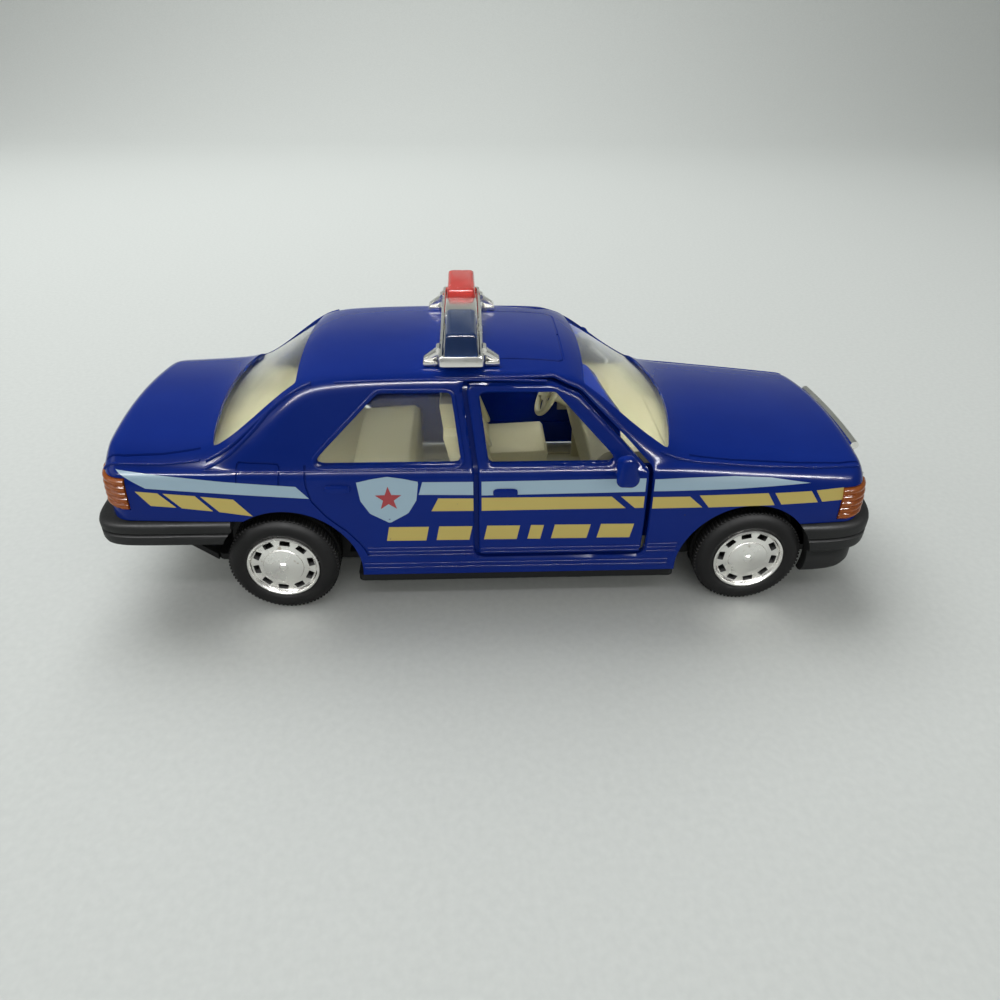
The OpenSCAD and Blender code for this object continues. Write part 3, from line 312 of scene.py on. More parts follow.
def make_piece(name, points, faces, material, angle=35):
    mesh = raw_mesh(name, points, [], faces)
    body = bmesh.new()
    body.from_mesh(mesh)
    bmesh.ops.remove_doubles(body, verts=body.verts, dist=merge_within)
    bmesh.ops.recalc_face_normals(body, faces=body.faces)
    body.to_mesh(mesh)
    body.free()
    piece = add_object(name, mesh)
    finish_mesh(piece, material, angle)
    return piece


def grid_faces(rows, cols, start=0, wrap=False):
    faces = []
    for low in range(start, start + (rows - 1) * cols, cols):
        for j in range(cols if wrap else cols - 1):
            k = (j + 1) % cols
            faces.append((low + j, low + k, low + cols + k, low + cols + j))
    return faces


def tube(name, rings, material=None, angle=35):
    rings = np.asarray(rings)
    rows, cols = rings.shape[:2]
    faces = grid_faces(rows, cols, wrap=True) + [range(cols), range((rows - 1) * cols, rows * cols)]
    return make_piece(name, rings.reshape(-1, 3), faces, material, angle)


def closed_loft(name, rings, cap_steps=14):
    rows, cols = rings.shape[:2]
    points = [rings.reshape(-1, 3)]
    faces = grid_faces(rows, cols, wrap=True)
    start = rows * cols
    half = (cols + 1) // 2
    for ring in (rings[0, :half], rings[-1, :half]):
        x, y, z = ring[:, 0:1], ring[:, 1:2], ring[:, 2:3]
        flat = ring[-1, 0]
        pull = np.where(abs(y) > 0.01, x - flat, 0)
        cap = [flat + pull * np.linspace(-1, 1, cap_steps) ** 2, y * np.linspace(1, -1, cap_steps),
               np.repeat(z, cap_steps, 1)]
        points.append(np.stack(cap, 2).reshape(-1, 3))
        faces += grid_faces(half, cap_steps, start)
        if cap_steps > 2:
            faces.append(range(start, start + cap_steps))
        start += half * cap_steps
    return make_piece(name, np.concatenate(points), faces, None)


def prism(name, outline, lo, hi, axis="y"):
    outline = np.asarray(outline, float)
    return tube(name, [np.insert(outline, "xyz".index(axis), at, axis=1) for at in (lo, hi)])


def box_cutter(name, lo, hi):
    outline = [(lo[0], lo[1]), (hi[0], lo[1]), (hi[0], hi[1]), (lo[0], hi[1])]
    return prism(name, outline, lo[2], hi[2], "z")


def apply_modifiers(piece):
    graph = bpy.context.evaluated_depsgraph_get()
    mesh = bpy.data.meshes.new_from_object(piece.evaluated_get(graph))
    piece.modifiers.clear()
    piece.data = mesh


def carve(piece, cutters, operation="DIFFERENCE"):
    for cutter in cutters:
        step = piece.modifiers.new("carve", "BOOLEAN")
        step.solver = "MANIFOLD"
        step.operation = operation
        step.object = cutter
    apply_modifiers(piece)
    for cutter in cutters:
        bpy.data.objects.remove(cutter)


window_sill_z, window_top_z, frame_w = 27, 36.8, 1.7
door_bottom_z, door_top_z, door_front_x, door_rear_x, pillar_lean = 11.4, 37.9, 22.6, 3.2, 1.7
pillar_bend, pillar_bend_run, pillar_foot_w, pillar_head_w, roof_front_x = 1.5, 2.4, 3.4, 3.1, 12
pillar_foot, pillar_head = (door_front_x, belt_z - belt_blend / 2), (roof_front_x - pillar_lean, door_top_z)
quarter_foot_x, quarter_head_x = -28.2, -17.8
door_corner_r, opening_corner_r, window_corner_r, screen_corner_r = 1, 1.6, 0.9, 0.6


def pillar_x(z):
    run, rise = pillar_head[0] - pillar_foot[0], pillar_head[1] - pillar_foot[1]
    return pillar_foot[0] + run * (z - pillar_foot[1]) / rise


def shut_x(z):
    return -door_rear_x - pillar_lean * max(0, z - belt_z) / (door_top_z - belt_z)


door_corners = [(-door_rear_x, door_bottom_z), (door_front_x, door_bottom_z), pillar_foot,
                (pillar_x(door_top_z - pillar_bend), door_top_z - pillar_bend),
                (pillar_head[0] - pillar_bend_run, door_top_z), (shut_x(door_top_z), door_top_z),
                (-door_rear_x, belt_z)]
door_outline = rounded_outline(door_corners, door_corner_r)
door_opening = rounded_outline(offset_outline(door_corners, door_gap), opening_corner_r)
door_window = rounded_outline([
    (shut_x(window_sill_z) + frame_w, window_sill_z), (pillar_x(window_sill_z) - pillar_foot_w, window_sill_z),
    (pillar_x(window_top_z) - pillar_head_w, window_top_z), (shut_x(window_top_z) + frame_w, window_top_z)],
    window_corner_r)
quarter_corners = [
    (quarter_foot_x, window_sill_z), (shut_x(window_sill_z) - frame_w - door_gap, window_sill_z),
    (shut_x(window_top_z) - frame_w - door_gap, window_top_z), (quarter_head_x, window_top_z)]
quarter_window = rounded_outline(quarter_corners, window_corner_r)


def screen_outline(foot, head, bow, foot_w, head_w):
    across = np.linspace(-1, 1, 25)
    lower = np.stack([foot - bow * across ** 2, foot_w * across], 1)
    upper = np.stack([head - bow / 3 * across ** 2, head_w * across], 1)[::-1]
    return np.concatenate([lower, upper])


front_screen_sizes, rear_screen_sizes = (28.3, 13.5, screen_bow, 18.2, 14.7), (-44.0, -30.4, -1.3, 17.7, 14.4)
front_screen, rear_screen = screen_outline(*front_screen_sizes), screen_outline(*rear_screen_sizes)[::-1]


def skin_normals(rings):
    normals = np.cross(np.gradient(rings, axis=0), np.gradient(rings, axis=1))
    normals /= np.linalg.norm(normals, axis=2, keepdims=True) + 1e-12
    return normals * np.sign((normals * (rings - [0, 0, core_z])).sum(2, keepdims=True))


lips_from_y = 9


def soft_lips(rings, side_outlines, lip=0.45):
    x, y, z = rings[..., 0], rings[..., 1], rings[..., 2]
    drop = np.zeros(x.shape)
    for outline, keep_inside in side_outlines:
        d = polygon_distance(x, z, outline) * (-1 if keep_inside else 1)
        fall = np.where(d > 0, lip - np.sqrt(np.maximum(0, lip ** 2 - np.maximum(0, lip - d) ** 2)), lip)
        drop = np.maximum(drop, np.where(np.abs(y) > lips_from_y, fall, 0))
    return rings - skin_normals(rings) * drop[..., None]


shell_x = np.unique(np.concatenate([
    tail_x + corner_r * (1 - np.cos(np.linspace(0, math.pi / 2, 16))), np.linspace(tail_x + corner_r, -44, 30),
    np.linspace(-44, -28, 44), np.linspace(-28, -4.6, 56), np.linspace(-4.6, -2.8, 10),
    np.linspace(-2.8, 21, 60), np.linspace(21, 30, 30), np.linspace(30, nose_x - corner_r, 56),
    nose_x - corner_r * (1 - np.cos(np.linspace(math.pi / 2, 0, 16)))]).round(4))
shell_lips = [(door_opening, False), (quarter_window, False)]
body_shell = closed_loft("body_shell_skin", soft_lips(body_sections(shell_x, 0, sill_z, 130), shell_lips))
lining_x = np.linspace(tail_x + wall, nose_x - wall, 90)
lining = closed_loft("lining", body_sections(lining_x, wall, sill_z - 1, 50), 2)
arch_at = [(front_x - 1.4, 11), (rear_x + 1.5, 11.3)]
lamp_z, headlight_h, indicator_h, tail_lamp_z, tail_lamp_h = 16.6, 6, 5.2, 20.4, 4.8
front_bumper_z, rear_bumper_z, clear_y, clear_x, clear_z = 15.8, 18.2, 24.2, 70, 46
headlight_y, indicator_y, tail_lamp_y = (11, 16.75), (16.9, clear_y), (14.25, clear_y)
headlight_deep, indicator_deep, tail_lamp_deep, overrun = 3.5, 5.7, 4.95, 1
lamp_holes = [
    (nose_x - headlight_deep, nose_x + overrun, *headlight_y, lamp_z, lamp_z + headlight_h),
    (nose_x - indicator_deep, nose_x + overrun, *indicator_y, lamp_z, lamp_z + indicator_h),
    (tail_x - overrun, tail_x + tail_lamp_deep, *tail_lamp_y, tail_lamp_z, tail_lamp_z + tail_lamp_h)]


def arch_circle(x, r):
    return [(x + r * math.cos(a), axle_z + r * math.sin(a)) for a in np.linspace(0, 2 * math.pi, 96, False)]


cutters = [lining]
for side in (-1, 1):
    for name, outline in (("door_hole", door_opening), ("quarter_hole", quarter_window)):
        cutters.append(prism(name, outline, *sorted((side * 7.6, side * clear_y))))
    for place in arch_at:
        cutters.append(prism("arch", arch_circle(*place), *sorted((side * 13, side * clear_y))))
    for x0, x1, y0, y1, z0, z1 in lamp_holes:
        near, far = sorted((side * y0, side * y1))
        cutters.append(box_cutter("lamp_hole", (x0, near, z0 - seat_gap), (x1, far, z1 + seat_gap)))
bumper_y = 24.5
cutters += [
    prism("windscreen_hole", rounded_outline(front_screen, screen_corner_r, 2), 26.4, clear_z, "z"),
    prism("backlight_hole", rounded_outline(rear_screen, screen_corner_r, 2), 27.6, clear_z, "z"),
    box_cutter("front_bumper_space", (front_x, -bumper_y, 0), (clear_x, bumper_y, front_bumper_z + seat_gap)),
    box_cutter("rear_bumper_space", (-clear_x, -bumper_y, 0), (rear_x, bumper_y, rear_bumper_z + seat_gap)),
    box_cutter("grille_space", (nose_x - 2, -11.15, front_bumper_z - 0.2), (nose_x + 2, 11.15, 24.0))]
carve(body_shell, cutters)


def side_point(x, z, lift=0.0, inset=0.0):
    x, z = np.broadcast_arrays(np.asarray(x, float), np.asarray(z, float))

    def outside(y):
        station = x + (x - bow_x(x, y))
        return depth(station, y, z, inset) > 0

    y = halve(outside, np.zeros_like(x), np.full_like(x, far_aside))
    return np.stack([x, -(y + lift), z], -1)


def top_point(x, y, lift=0.0, inset=0.0):
    x, y = np.broadcast_arrays(np.asarray(x, float), np.asarray(y, float))
    station = x + (x - bow_x(x, np.abs(y)))
    z = halve(lambda z: depth(station, np.abs(y), z, inset) > 0,
              np.full_like(x, core_z), np.full_like(x, far_out))
    return np.stack([x, y, z + lift], -1)


def resample(points, step):
    points = np.asarray(points, float)
    run = np.concatenate([[0], np.cumsum(np.linalg.norm(np.diff(points, axis=0), axis=1))])
    at = np.linspace(0, run[-1], max(2, int(run[-1] / step) + 1))
    return np.stack([np.interp(at, run, points[:, i]) for i in range(points.shape[1])], 1)


def groove_cutter(path, outward, width, deep):
    along = np.gradient(path, axis=0)
    along /= np.linalg.norm(along, axis=1, keepdims=True)
    across = np.cross(outward, along)
    across /= np.linalg.norm(across, axis=1, keepdims=True)
    corners = [(-0.5, 0.6), (-0.18, -1), (0.18, -1), (0.5, 0.6)]
    return tube("seam", np.stack([path + across * width * u + outward * deep * v for u, v in corners], 1))


groove_step = 0.4


def side_groove(points, width=0.42, deep=0.26, both_sides=True):
    flat = resample(points, groove_step)
    path = side_point(flat[:, 0], flat[:, 1])
    outward = np.tile([0, -1.0, 0.15], (len(path), 1))
    outward /= np.linalg.norm(outward, axis=1, keepdims=True)
    seams = [groove_cutter(path, outward, width, deep)]
    if both_sides:
        seams.append(groove_cutter(path * [1, -1, 1], outward * [1, -1, 1], width, deep))
    return seams


def top_groove(points, width, deep):
    flat = resample(points, groove_step)
    path = top_point(flat[:, 0], flat[:, 1])
    return groove_cutter(path, np.tile([0.0, 0.0, 1.0], (len(path), 1)), width, deep)


# Shut lines cast into the shell: rear doors, fuel flap, bonnet, boot lid and sunroof panel
rear_door_line = [(-28.9, 27.2), (-28.9, 24.4), (-28.3, 21.8), (-26.2, 19.0), (-23.4, 16.4), (-21.6, 14.0),
                  (-20.9, 12.6), (-20.5, 11.6)]
fuel_flap = [(-38.6, 27.6), (-33.0, 27.4), (-32.6, 27.0), (-33.0, 23.2), (-33.4, 22.8), (-38.8, 23.1),
             (-39.1, 23.5), (-38.9, 27.2), (-38.6, 27.6)]
carve(body_shell, side_groove(rear_door_line) + side_groove(fuel_flap, 0.34, 0.2, both_sides=False))
bonnet_side = [(29.3, 18.4), (36, 18.6), (46, 18.2), (54, 17.4), (57.3, 16.6)]
boot_side = [(-44.6, 17.6), (-50, 18.0), (-56, 17.9), (-58.9, 17.4)]
sunroof_side = [(-1.2, 10.4), (9.4, 10.4), (10.2, 9.6), (10.2, 0.02)]
top_cuts = []
for flip in (-1, 1):
    for line, width, deep in ((bonnet_side, 0.42, 0.24), (boot_side, 0.42, 0.24), (sunroof_side, 0.5, 0.16)):
        top_cuts.append(top_groove([(x, flip * y) for x, y in line], width, deep))
carve(body_shell, top_cuts)


def socket_id(tree, name):
    return next(item.identifier for item in tree.interface.items_tree
                if item.item_type == "SOCKET" and item.in_out == "INPUT" and item.name == name)


def new_tree(name, **inputs):
    tree = bpy.data.node_groups.new(name, "GeometryNodeTree")
    for label, kind in {"Geometry": "Geometry", **inputs, "Material": "Material"}.items():
        tree.interface.new_socket(label, in_out="INPUT", socket_type="NodeSocket" + kind)
    tree.interface.new_socket("Geometry", in_out="OUTPUT", socket_type="NodeSocketGeometry")
    tree_in, tree_out = tree.nodes.new("NodeGroupInput"), tree.nodes.new("NodeGroupOutput")
    real, paint = tree.nodes.new("GeometryNodeRealizeInstances"), tree.nodes.new("GeometryNodeSetMaterial")
    link(tree, (real, "Geometry", paint, "Geometry"), (tree_in, "Material", paint, "Material"),
         (paint, "Geometry", tree_out, "Geometry"))
    return tree, tree_in, real


def grow(piece, tree, values, material, angle=35):
    step = piece.modifiers.new("grow", "NODES")
    step.node_group = tree
    for label, value in {**values, "Material": material}.items():
        step[socket_id(tree, label)] = value
    apply_modifiers(piece)
    finish_mesh(piece, None, angle)


bead_tree, bead_in, bead_end = new_tree("swept_bead", Radius="Float")
bead_curve = bead_tree.nodes.new("GeometryNodeMeshToCurve")
bead_circle = node(bead_tree, "GeometryNodeCurvePrimitiveCircle", Resolution=10)
bead_sweep = node(bead_tree, "GeometryNodeCurveToMesh", Fill_Caps=True)
link(bead_tree, (bead_in, "Geometry", bead_curve, "Mesh"), (bead_in, "Radius", bead_circle, "Radius"),
     (bead_curve, "Curve", bead_sweep, "Curve"), (bead_circle, "Curve", bead_sweep, "Profile Curve"),
     (bead_sweep, "Mesh", bead_end, "Geometry"))
bead_angle = 60


def bead(name, path, radius, material):
    piece = add_object(name, raw_mesh(name, path, [(i, i + 1) for i in range(len(path) - 1)], []))
    grow(piece, bead_tree, {"Radius": radius * mm}, material, bead_angle)
    return piece


def from_bmesh(name, body, materials):
    mesh = bpy.data.meshes.new(name)
    body.to_mesh(mesh)
    body.free()
    for material in materials:
        mesh.materials.append(material)
    return add_object(name, mesh)


def join(name, pieces):
    body = bmesh.new()
    for piece in pieces:
        body.from_mesh(piece.data)
    materials = list(pieces[0].data.materials)
    for piece in pieces:
        bpy.data.objects.remove(piece)
    return from_bmesh(name, body, materials)


def mirrored(piece, name):
    body = bmesh.new()
    body.from_mesh(piece.data)
    for vert in body.verts:
        vert.co.y = -vert.co.y
    bmesh.ops.reverse_faces(body, faces=body.faces)
    return from_bmesh(name, body, piece.data.materials)


# Effects that several finishes share: specks of missing finish, and a film of dust and grease
def new_effect(name, inputs, outputs):
    effect = bpy.data.node_groups.new(name, "ShaderNodeTree")
    for label, start in inputs.items():
        socket = effect.interface.new_socket(label, in_out="INPUT", socket_type="NodeSocketFloat")
        socket.default_value = start
    for label in outputs:
        effect.interface.new_socket(label, in_out="OUTPUT", socket_type="NodeSocketFloat")
    return effect, effect.nodes.new("NodeGroupInput"), effect.nodes.new("NodeGroupOutput")


specks, specks_in, specks_out = new_effect("worn_specks", {"Scale": 300, "Limit": 0.72}, ["Mask"])
specks_noise = object_noise(specks, Detail=3, Roughness=0.55)
specks_cut = node(specks, "ShaderNodeMath", operation="SUBTRACT")
specks_gain = node(specks, "ShaderNodeMath", operation="MULTIPLY", use_clamp=True)
specks_gain.inputs[1].default_value = 26
link(specks, (specks_in, "Scale", specks_noise, "Scale"), (specks_noise, "Fac", specks_cut, 0),
     (specks_in, "Limit", specks_cut, 1), (specks_cut, 0, specks_gain, 0), (specks_gain, 0, specks_out, "Mask"))

film, film_in, film_out = new_effect("handled_film", {"Scale": 60, "Low": 0.2, "High": 0.4},
                                     ["Roughness", "Cloud"])
film_noise = object_noise(film, Detail=5, Roughness=0.6)
film_range = node(film, "ShaderNodeMapRange", From_Min=0.35, From_Max=0.7)
link(film, (film_in, "Scale", film_noise, "Scale"), (film_noise, "Fac", film_range, "Value"),
     (film_in, "Low", film_range, "To Min"), (film_in, "High", film_range, "To Max"),
     (film_range, "Result", film_out, "Roughness"), (film_noise, "Fac", film_out, "Cloud"))


def place_group(tree, group, **values):
    made = tree.nodes.new("ShaderNodeGroup")
    made.node_tree = group
    for key, value in values.items():
        made.inputs[key].default_value = value
    return made


def orange_peel(tree, shader, scale, height):
    noise = object_noise(tree, Scale=scale, Detail=2)
    bump = node(tree, "ShaderNodeBump", Distance=height * mm, Strength=1.0)
    link(tree, (noise, "Fac", bump, "Height"), (bump, "Normal", shader, "Normal"))


blue_enamel, tree, shader = new_material("blue_enamel", Coat_Weight=0.04, Coat_Roughness=0.04, IOR=1.45,
                                         Specular_IOR_Level=0.12)
bare = place_group(tree, specks, Scale=420, Limit=0.755)
cloud = place_group(tree, film, Scale=70, Low=0.13, High=0.22)
tint = two_tone(tree, cloud, "Cloud", (0.0022, 0.017, 0.18), (0.0035, 0.025, 0.24))
chip = two_tone(tree, bare, "Mask", (0, 0, 0), (0.035, 0.035, 0.05))
link(tree, (tint, mix_result, chip, mix_first), (chip, mix_result, shader, "Base Color"),
     (cloud, "Roughness", shader, "Roughness"))
orange_peel(tree, shader, 260, 0.02)
cast_angle = 32
finish_mesh(body_shell, blue_enamel, cast_angle)

# Raised beads of the casting: drip rails over the doors, twin beads down the rear pillars, the shoulder
# beads of bonnet and boot, the frames of the rear side windows, the sill ribs and the rear handles,
# with the flanges that stand behind the door gaps.
def level_run(x0, x1, across, count=60):
    return np.stack([np.linspace(x0, x1, count), np.full(count, across)], 1)


bead_step, belt_bead_z, belt_sink, belt_r = 0.5, 26.35, -0.12, 0.22
rail_low = [(-23.5, 38.55), (8.2, 38.62), (12.3, 37.05), (23.2, 26.95)]
bead_runs = [(top_point, level_run(-24, 7, -15.6), 0, 0.22),
             (side_point, resample(rounded_outline(rail_low, 3)[6:-6], bead_step), -0.05, 0.3)]
for shift, radius in ((0, 0.38), (1.05, 0.34)):
    pillar = [(-27.5 - shift, -15.3), (-31.6 - shift, -16.0), (-36, -17.2 - 0.5 * shift),
              (-40, -18.4 - 0.8 * shift), (-43.6, -19.3 - 0.8 * shift)]
    bead_runs.append((top_point, resample(pillar, bead_step), -0.05, radius))
boot_edge = [(-44.5, -19.2), (-50, -19.3), (-56.5, -18.9), (-59.2, -18.2)]
wing_edge = [(24.5, -19.0), (31, -19.4), (40, -19.3), (50, -18.6), (57, -17.6)]
window_frame = resample(offset_outline(quarter_window, 0.45), bead_step)
bead_runs += [(top_point, resample(boot_edge, bead_step), -0.04, 0.24),
              (top_point, resample(wing_edge, bead_step), -0.06, 0.26),
              (side_point, np.concatenate([window_frame, window_frame[:1]]), -0.1, 0.28),
              (side_point, level_run(-44, -4.6, belt_bead_z), belt_sink, belt_r)]
beads = []
for on_skin, run, lift, radius in bead_runs:
    right_bead = bead("shell_bead", on_skin(run[:, 0], run[:, 1], lift), radius, blue_enamel)
    beads += [right_bead, mirrored(right_bead, "shell_bead")]

rib_tree, rib_in, rib_end = new_tree("row_of_ribs", Count="Int", Pitch="Vector")
rib_line = rib_tree.nodes.new("GeometryNodeMeshLine")
rib_put = rib_tree.nodes.new("GeometryNodeInstanceOnPoints")
link(rib_tree, (rib_in, "Count", rib_line, "Count"), (rib_in, "Pitch", rib_line, "Offset"),
     (rib_line, "Mesh", rib_put, "Points"), (rib_in, "Geometry", rib_put, "Instance"),
     (rib_put, "Instances", rib_end, "Geometry"))
rib_r, rib_step, rib_sink = 0.2, 0.6, -0.02
sill_pitch, door_pitch = (0, -0.045 * mm, 0.85 * mm), (0, -0.03 * mm, 0.72 * mm)


def side_ribs(x0, x1, z, count, pitch):
    run = level_run(x0, x1, z, max(3, int((x1 - x0) / rib_step)))
    rows = bead("side_ribs", side_point(run[:, 0], run[:, 1], rib_sink), rib_r, blue_enamel)
    grow(rows, rib_tree, {"Count": count, "Pitch": pitch}, blue_enamel, bead_angle)
    return rows


ribs = [side_ribs(-21.4, 27.2, 8.9, 2, sill_pitch), side_ribs(-20.6, -4.1, 11.55, 3, door_pitch),
        side_ribs(23.6, 28.3, 11.55, 3, door_pitch)]
beads += ribs + [mirrored(rib, "side_ribs") for rib in ribs]


def handle_on(name, x0, z0, length, height):
    u = np.linspace(0, 2 * math.pi, 36, False)
    c, s = np.cos(u), np.sin(u)
    rings = []
    for lift, spread in ((-0.3, 0.0), (0.25, 0.0), (0.45, -0.16), (0.5, -0.4)):
        x = np.sign(c) * np.abs(c) ** 0.5 * (length / 2 + spread)
        z = np.sign(s) * np.abs(s) ** 0.6 * (height / 2 + spread * 0.8)
        rings.append(side_point(x0 + length / 2 + x, z0 + height / 2 + z, lift))
    return tube(name, rings, blue_enamel)


rear_handle = handle_on("rear_handle", -26.2, 23.2, 3.9, 1.3)
beads += [rear_handle, mirrored(rear_handle, "rear_handle")]
jamb = closed_loft("jamb", body_sections(np.linspace(-7, 18.4, 50), 1.1, sill_z, 91), 2)
jamb_core = closed_loft("jamb_core", body_sections(np.linspace(-8, 20, 50), 1.7, sill_z - 1, 91), 2)
carve(jamb, [prism("jamb_block", offset_outline(door_corners, 1.6), -24, -7)], "INTERSECT")
carve(jamb, [jamb_core, prism("jamb_hole", offset_outline(door_corners, -0.9), -25, -6)])
scuttle = prism("scuttle", [(21, 11), (28, 11), (28, 24.8), (21, 24.8)], -17.5, -17.1)
for sheet in (jamb, scuttle):
    finish_mesh(sheet, blue_enamel, cast_angle)
    beads += [sheet, mirrored(sheet, sheet.name)]
shell_trim = join("shell_beads", beads)
body_shell.name = "cast_shell"
for piece in (body_shell, shell_trim):
    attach(piece, "body")
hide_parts("body_shell")

# Printed bands: pale blue and gold ink pad-printed on the enamel of the sides, split at the door gaps.
# Each print is a film that lies on the surface, a few hundredths of a millimetre thick.
def handled_finish(name, first, second, dust, chips=None, peel=None, **values):
    material, tree, shader = new_material(name, **values)
    cloud = place_group(tree, film, Scale=dust[0], Low=dust[1], High=dust[2])
    if chips:
        worn = place_group(tree, specks, Scale=chips[0], Limit=chips[1])
        tint = two_tone(tree, worn, "Mask", first, second)
    else:
        tint = two_tone(tree, cloud, "Cloud", first, second)
    link(tree, (tint, mix_result, shader, "Base Color"), (cloud, "Roughness", shader, "Roughness"))
    if peel:
        orange_peel(tree, shader, *peel)
    return material


blue_under, pale_under = (0.012, 0.02, 0.16), (0.27, 0.385, 0.50)
pale_print = handled_finish("pale_blue_print", (0.40, 0.55, 0.66), blue_under, (120, 0.3, 0.42), (500, 0.74),
                            Coat_Weight=0.08, Specular_IOR_Level=0.2)
gold_print = handled_finish("gold_print", (0.62, 0.49, 0.135), blue_under, (160, 0.34, 0.46), (420, 0.74),
                            Coat_Weight=0.12, Specular_IOR_Level=0.3)
red_print = handled_finish("red_print", (0.42, 0.025, 0.035), pale_under, (160, 0.34, 0.46), (420, 0.7),
                           Coat_Weight=0.3)
print_lift, star_lift, print_step = 0.03, 0.055, 0.4


def patch(corners, nu, nv):
    a, b, c, d = np.asarray(corners, float)
    u, v = np.meshgrid(np.linspace(0, 1, nu), np.linspace(0, 1, nv))
    u, v = u[..., None], v[..., None]
    return (1 - u) * (1 - v) * a + u * (1 - v) * b + u * v * c + (1 - u) * v * d


def print_sheet(name, points, faces, material):
    mesh = raw_mesh(name, points, [], faces)
    if mesh.polygons[0].normal.y > 0:
        mesh.flip_normals()
    piece = add_object(name, mesh)
    finish_mesh(piece, material, 60)
    return piece


def print_quad(name, corners, material):
    a, b, c, d = np.asarray(corners, float)
    nu = max(3, int(max(np.linalg.norm(b - a), np.linalg.norm(c - d)) / print_step))
    nv = max(3, int(max(np.linalg.norm(d - a), np.linalg.norm(c - b)) / print_step))
    flat = patch(corners, nu, nv)
    points = side_point(flat[..., 0], flat[..., 1], print_lift).reshape(-1, 3)
    return print_sheet(name, points, grid_faces(nv, nu), material)


def print_fan(name, centre, outline, material, lift):
    centre, outline = np.asarray(centre, float), np.asarray(outline, float)
    shares = np.linspace(0, 1, 9)[1:]
    flat = np.concatenate([centre[None]] + [centre + (outline - centre) * share for share in shares])
    n = len(outline)
    faces = [(0, 1 + i, 1 + (i + 1) % n) for i in range(n)]
    for low in range(1, 1 + (len(shares) - 1) * n, n):
        faces += [(low + i, low + n + i, low + n + (i + 1) % n, low + (i + 1) % n) for i in range(n)]
    return print_sheet(name, side_point(flat[:, 0], flat[:, 1], lift), faces, material)


pale_body = [[(-57.0, 26.3), (-30.4, 24.3), (-28.6, 22.3), (-52.6, 23.9)],
             [(-11.6, 24.85), (-4.0, 24.8), (-4.0, 22.6), (-12.2, 22.75)],
             [(23.5, 24.8), (36.0, 24.5), (36.0, 22.75), (23.5, 22.8)],
             [(36.0, 24.5), (42.0, 24.0), (48.4, 22.95), (36.0, 22.75)]]
gold_body = [[(-54.3, 23.4), (-51.0, 23.15), (-48.6, 20.75), (-52.4, 21.0)],
             [(-50.2, 23.1), (-45.5, 22.75), (-43.2, 20.15), (-47.8, 20.65)],
             [(-44.7, 22.65), (-39.9, 22.2), (-37.4, 19.3), (-42.3, 20.05)],
             [(-9.3, 22.1), (-4.0, 22.0), (-4.0, 19.85), (-10.4, 19.9)],
             [(23.5, 21.8), (29.2, 21.75), (31.4, 19.8), (23.5, 19.8)],
             [(30.7, 21.9), (41.6, 21.85), (42.9, 19.75), (32.4, 19.75)],
             [(42.7, 21.8), (48.6, 21.8), (49.9, 19.9), (44.0, 19.8)],
             [(49.4, 21.85), (53.9, 22.0), (54.2, 20.1), (50.6, 19.95)]]
pale_door = [[(-2.75, 24.8), (22.15, 25.0), (22.15, 22.75), (-2.75, 22.5)]]
gold_door = [[(-2.75, 22.1), (17.1, 22.0), (19.4, 19.95), (-2.75, 19.85)],
             [(18.5, 22.0), (22.15, 21.95), (22.15, 19.95), (20.8, 19.95)]]
word_blocks = [(-17.5, -10.9), (-9.8, -4.2), (-2.4, 3.2), (4.4, 6.9), (8.1, 14.2), (15.3, 21.0)]
for x0, x1 in word_blocks:
    block = [(x0 + 0.5, 17.15), (x1, 17.1), (x1 - 0.5, 14.5), (x0, 14.55)]
    (gold_door if x0 > -3 else gold_body).append(block)
shield_outline = resample([
    (-21.4, 24.9), (-19.2, 25.4), (-16.8, 25.75), (-14.4, 25.4), (-12.2, 24.9), (-12.6, 21.8), (-13.9, 19.6),
    (-16.8, 17.9), (-19.7, 19.6), (-21.0, 21.8), (-21.4, 24.9)], print_step)[:-1]
star_at, star_radii = (-16.8, 22.1), (2.1, 0.85)
star_outline = [(star_at[0] + star_radii[k % 2] * math.sin(k * math.pi / 5),
                 star_at[1] + star_radii[k % 2] * math.cos(k * math.pi / 5)) for k in range(10)]
body_prints = ([print_quad("pale_band", quad, pale_print) for quad in pale_body]
               + [print_quad("gold_band", quad, gold_print) for quad in gold_body]
               + [print_fan("shield_field", (-16.8, 22.0), shield_outline, pale_print, print_lift),
                  print_fan("shield_star", star_at, star_outline, red_print, star_lift)])
door_prints = ([print_quad("pale_band", quad, pale_print) for quad in pale_door]
               + [print_quad("gold_band", quad, gold_print) for quad in gold_door])


def join_prints(prints, name, body, side):
    inks = (("pale", pale_print), ("gold", gold_print), ("red", red_print))
    groups = [(ink_name, [sheet for sheet in prints if sheet.data.materials[0] == ink])
              for ink_name, ink in inks]
    for ink_name, group in groups:
        if not group:
            continue
        if side > 0:
            group = [mirrored(sheet, sheet.name) for sheet in group]
        done = join(name + "_" + ink_name, group)
        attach(done, body)


for side_name, side in (("left", 1), ("right", -1)):
    join_prints(body_prints, side_name + "_side_print", "body", side)
    join_prints(door_prints, side_name + "_door_print", side_name + "_door", side)

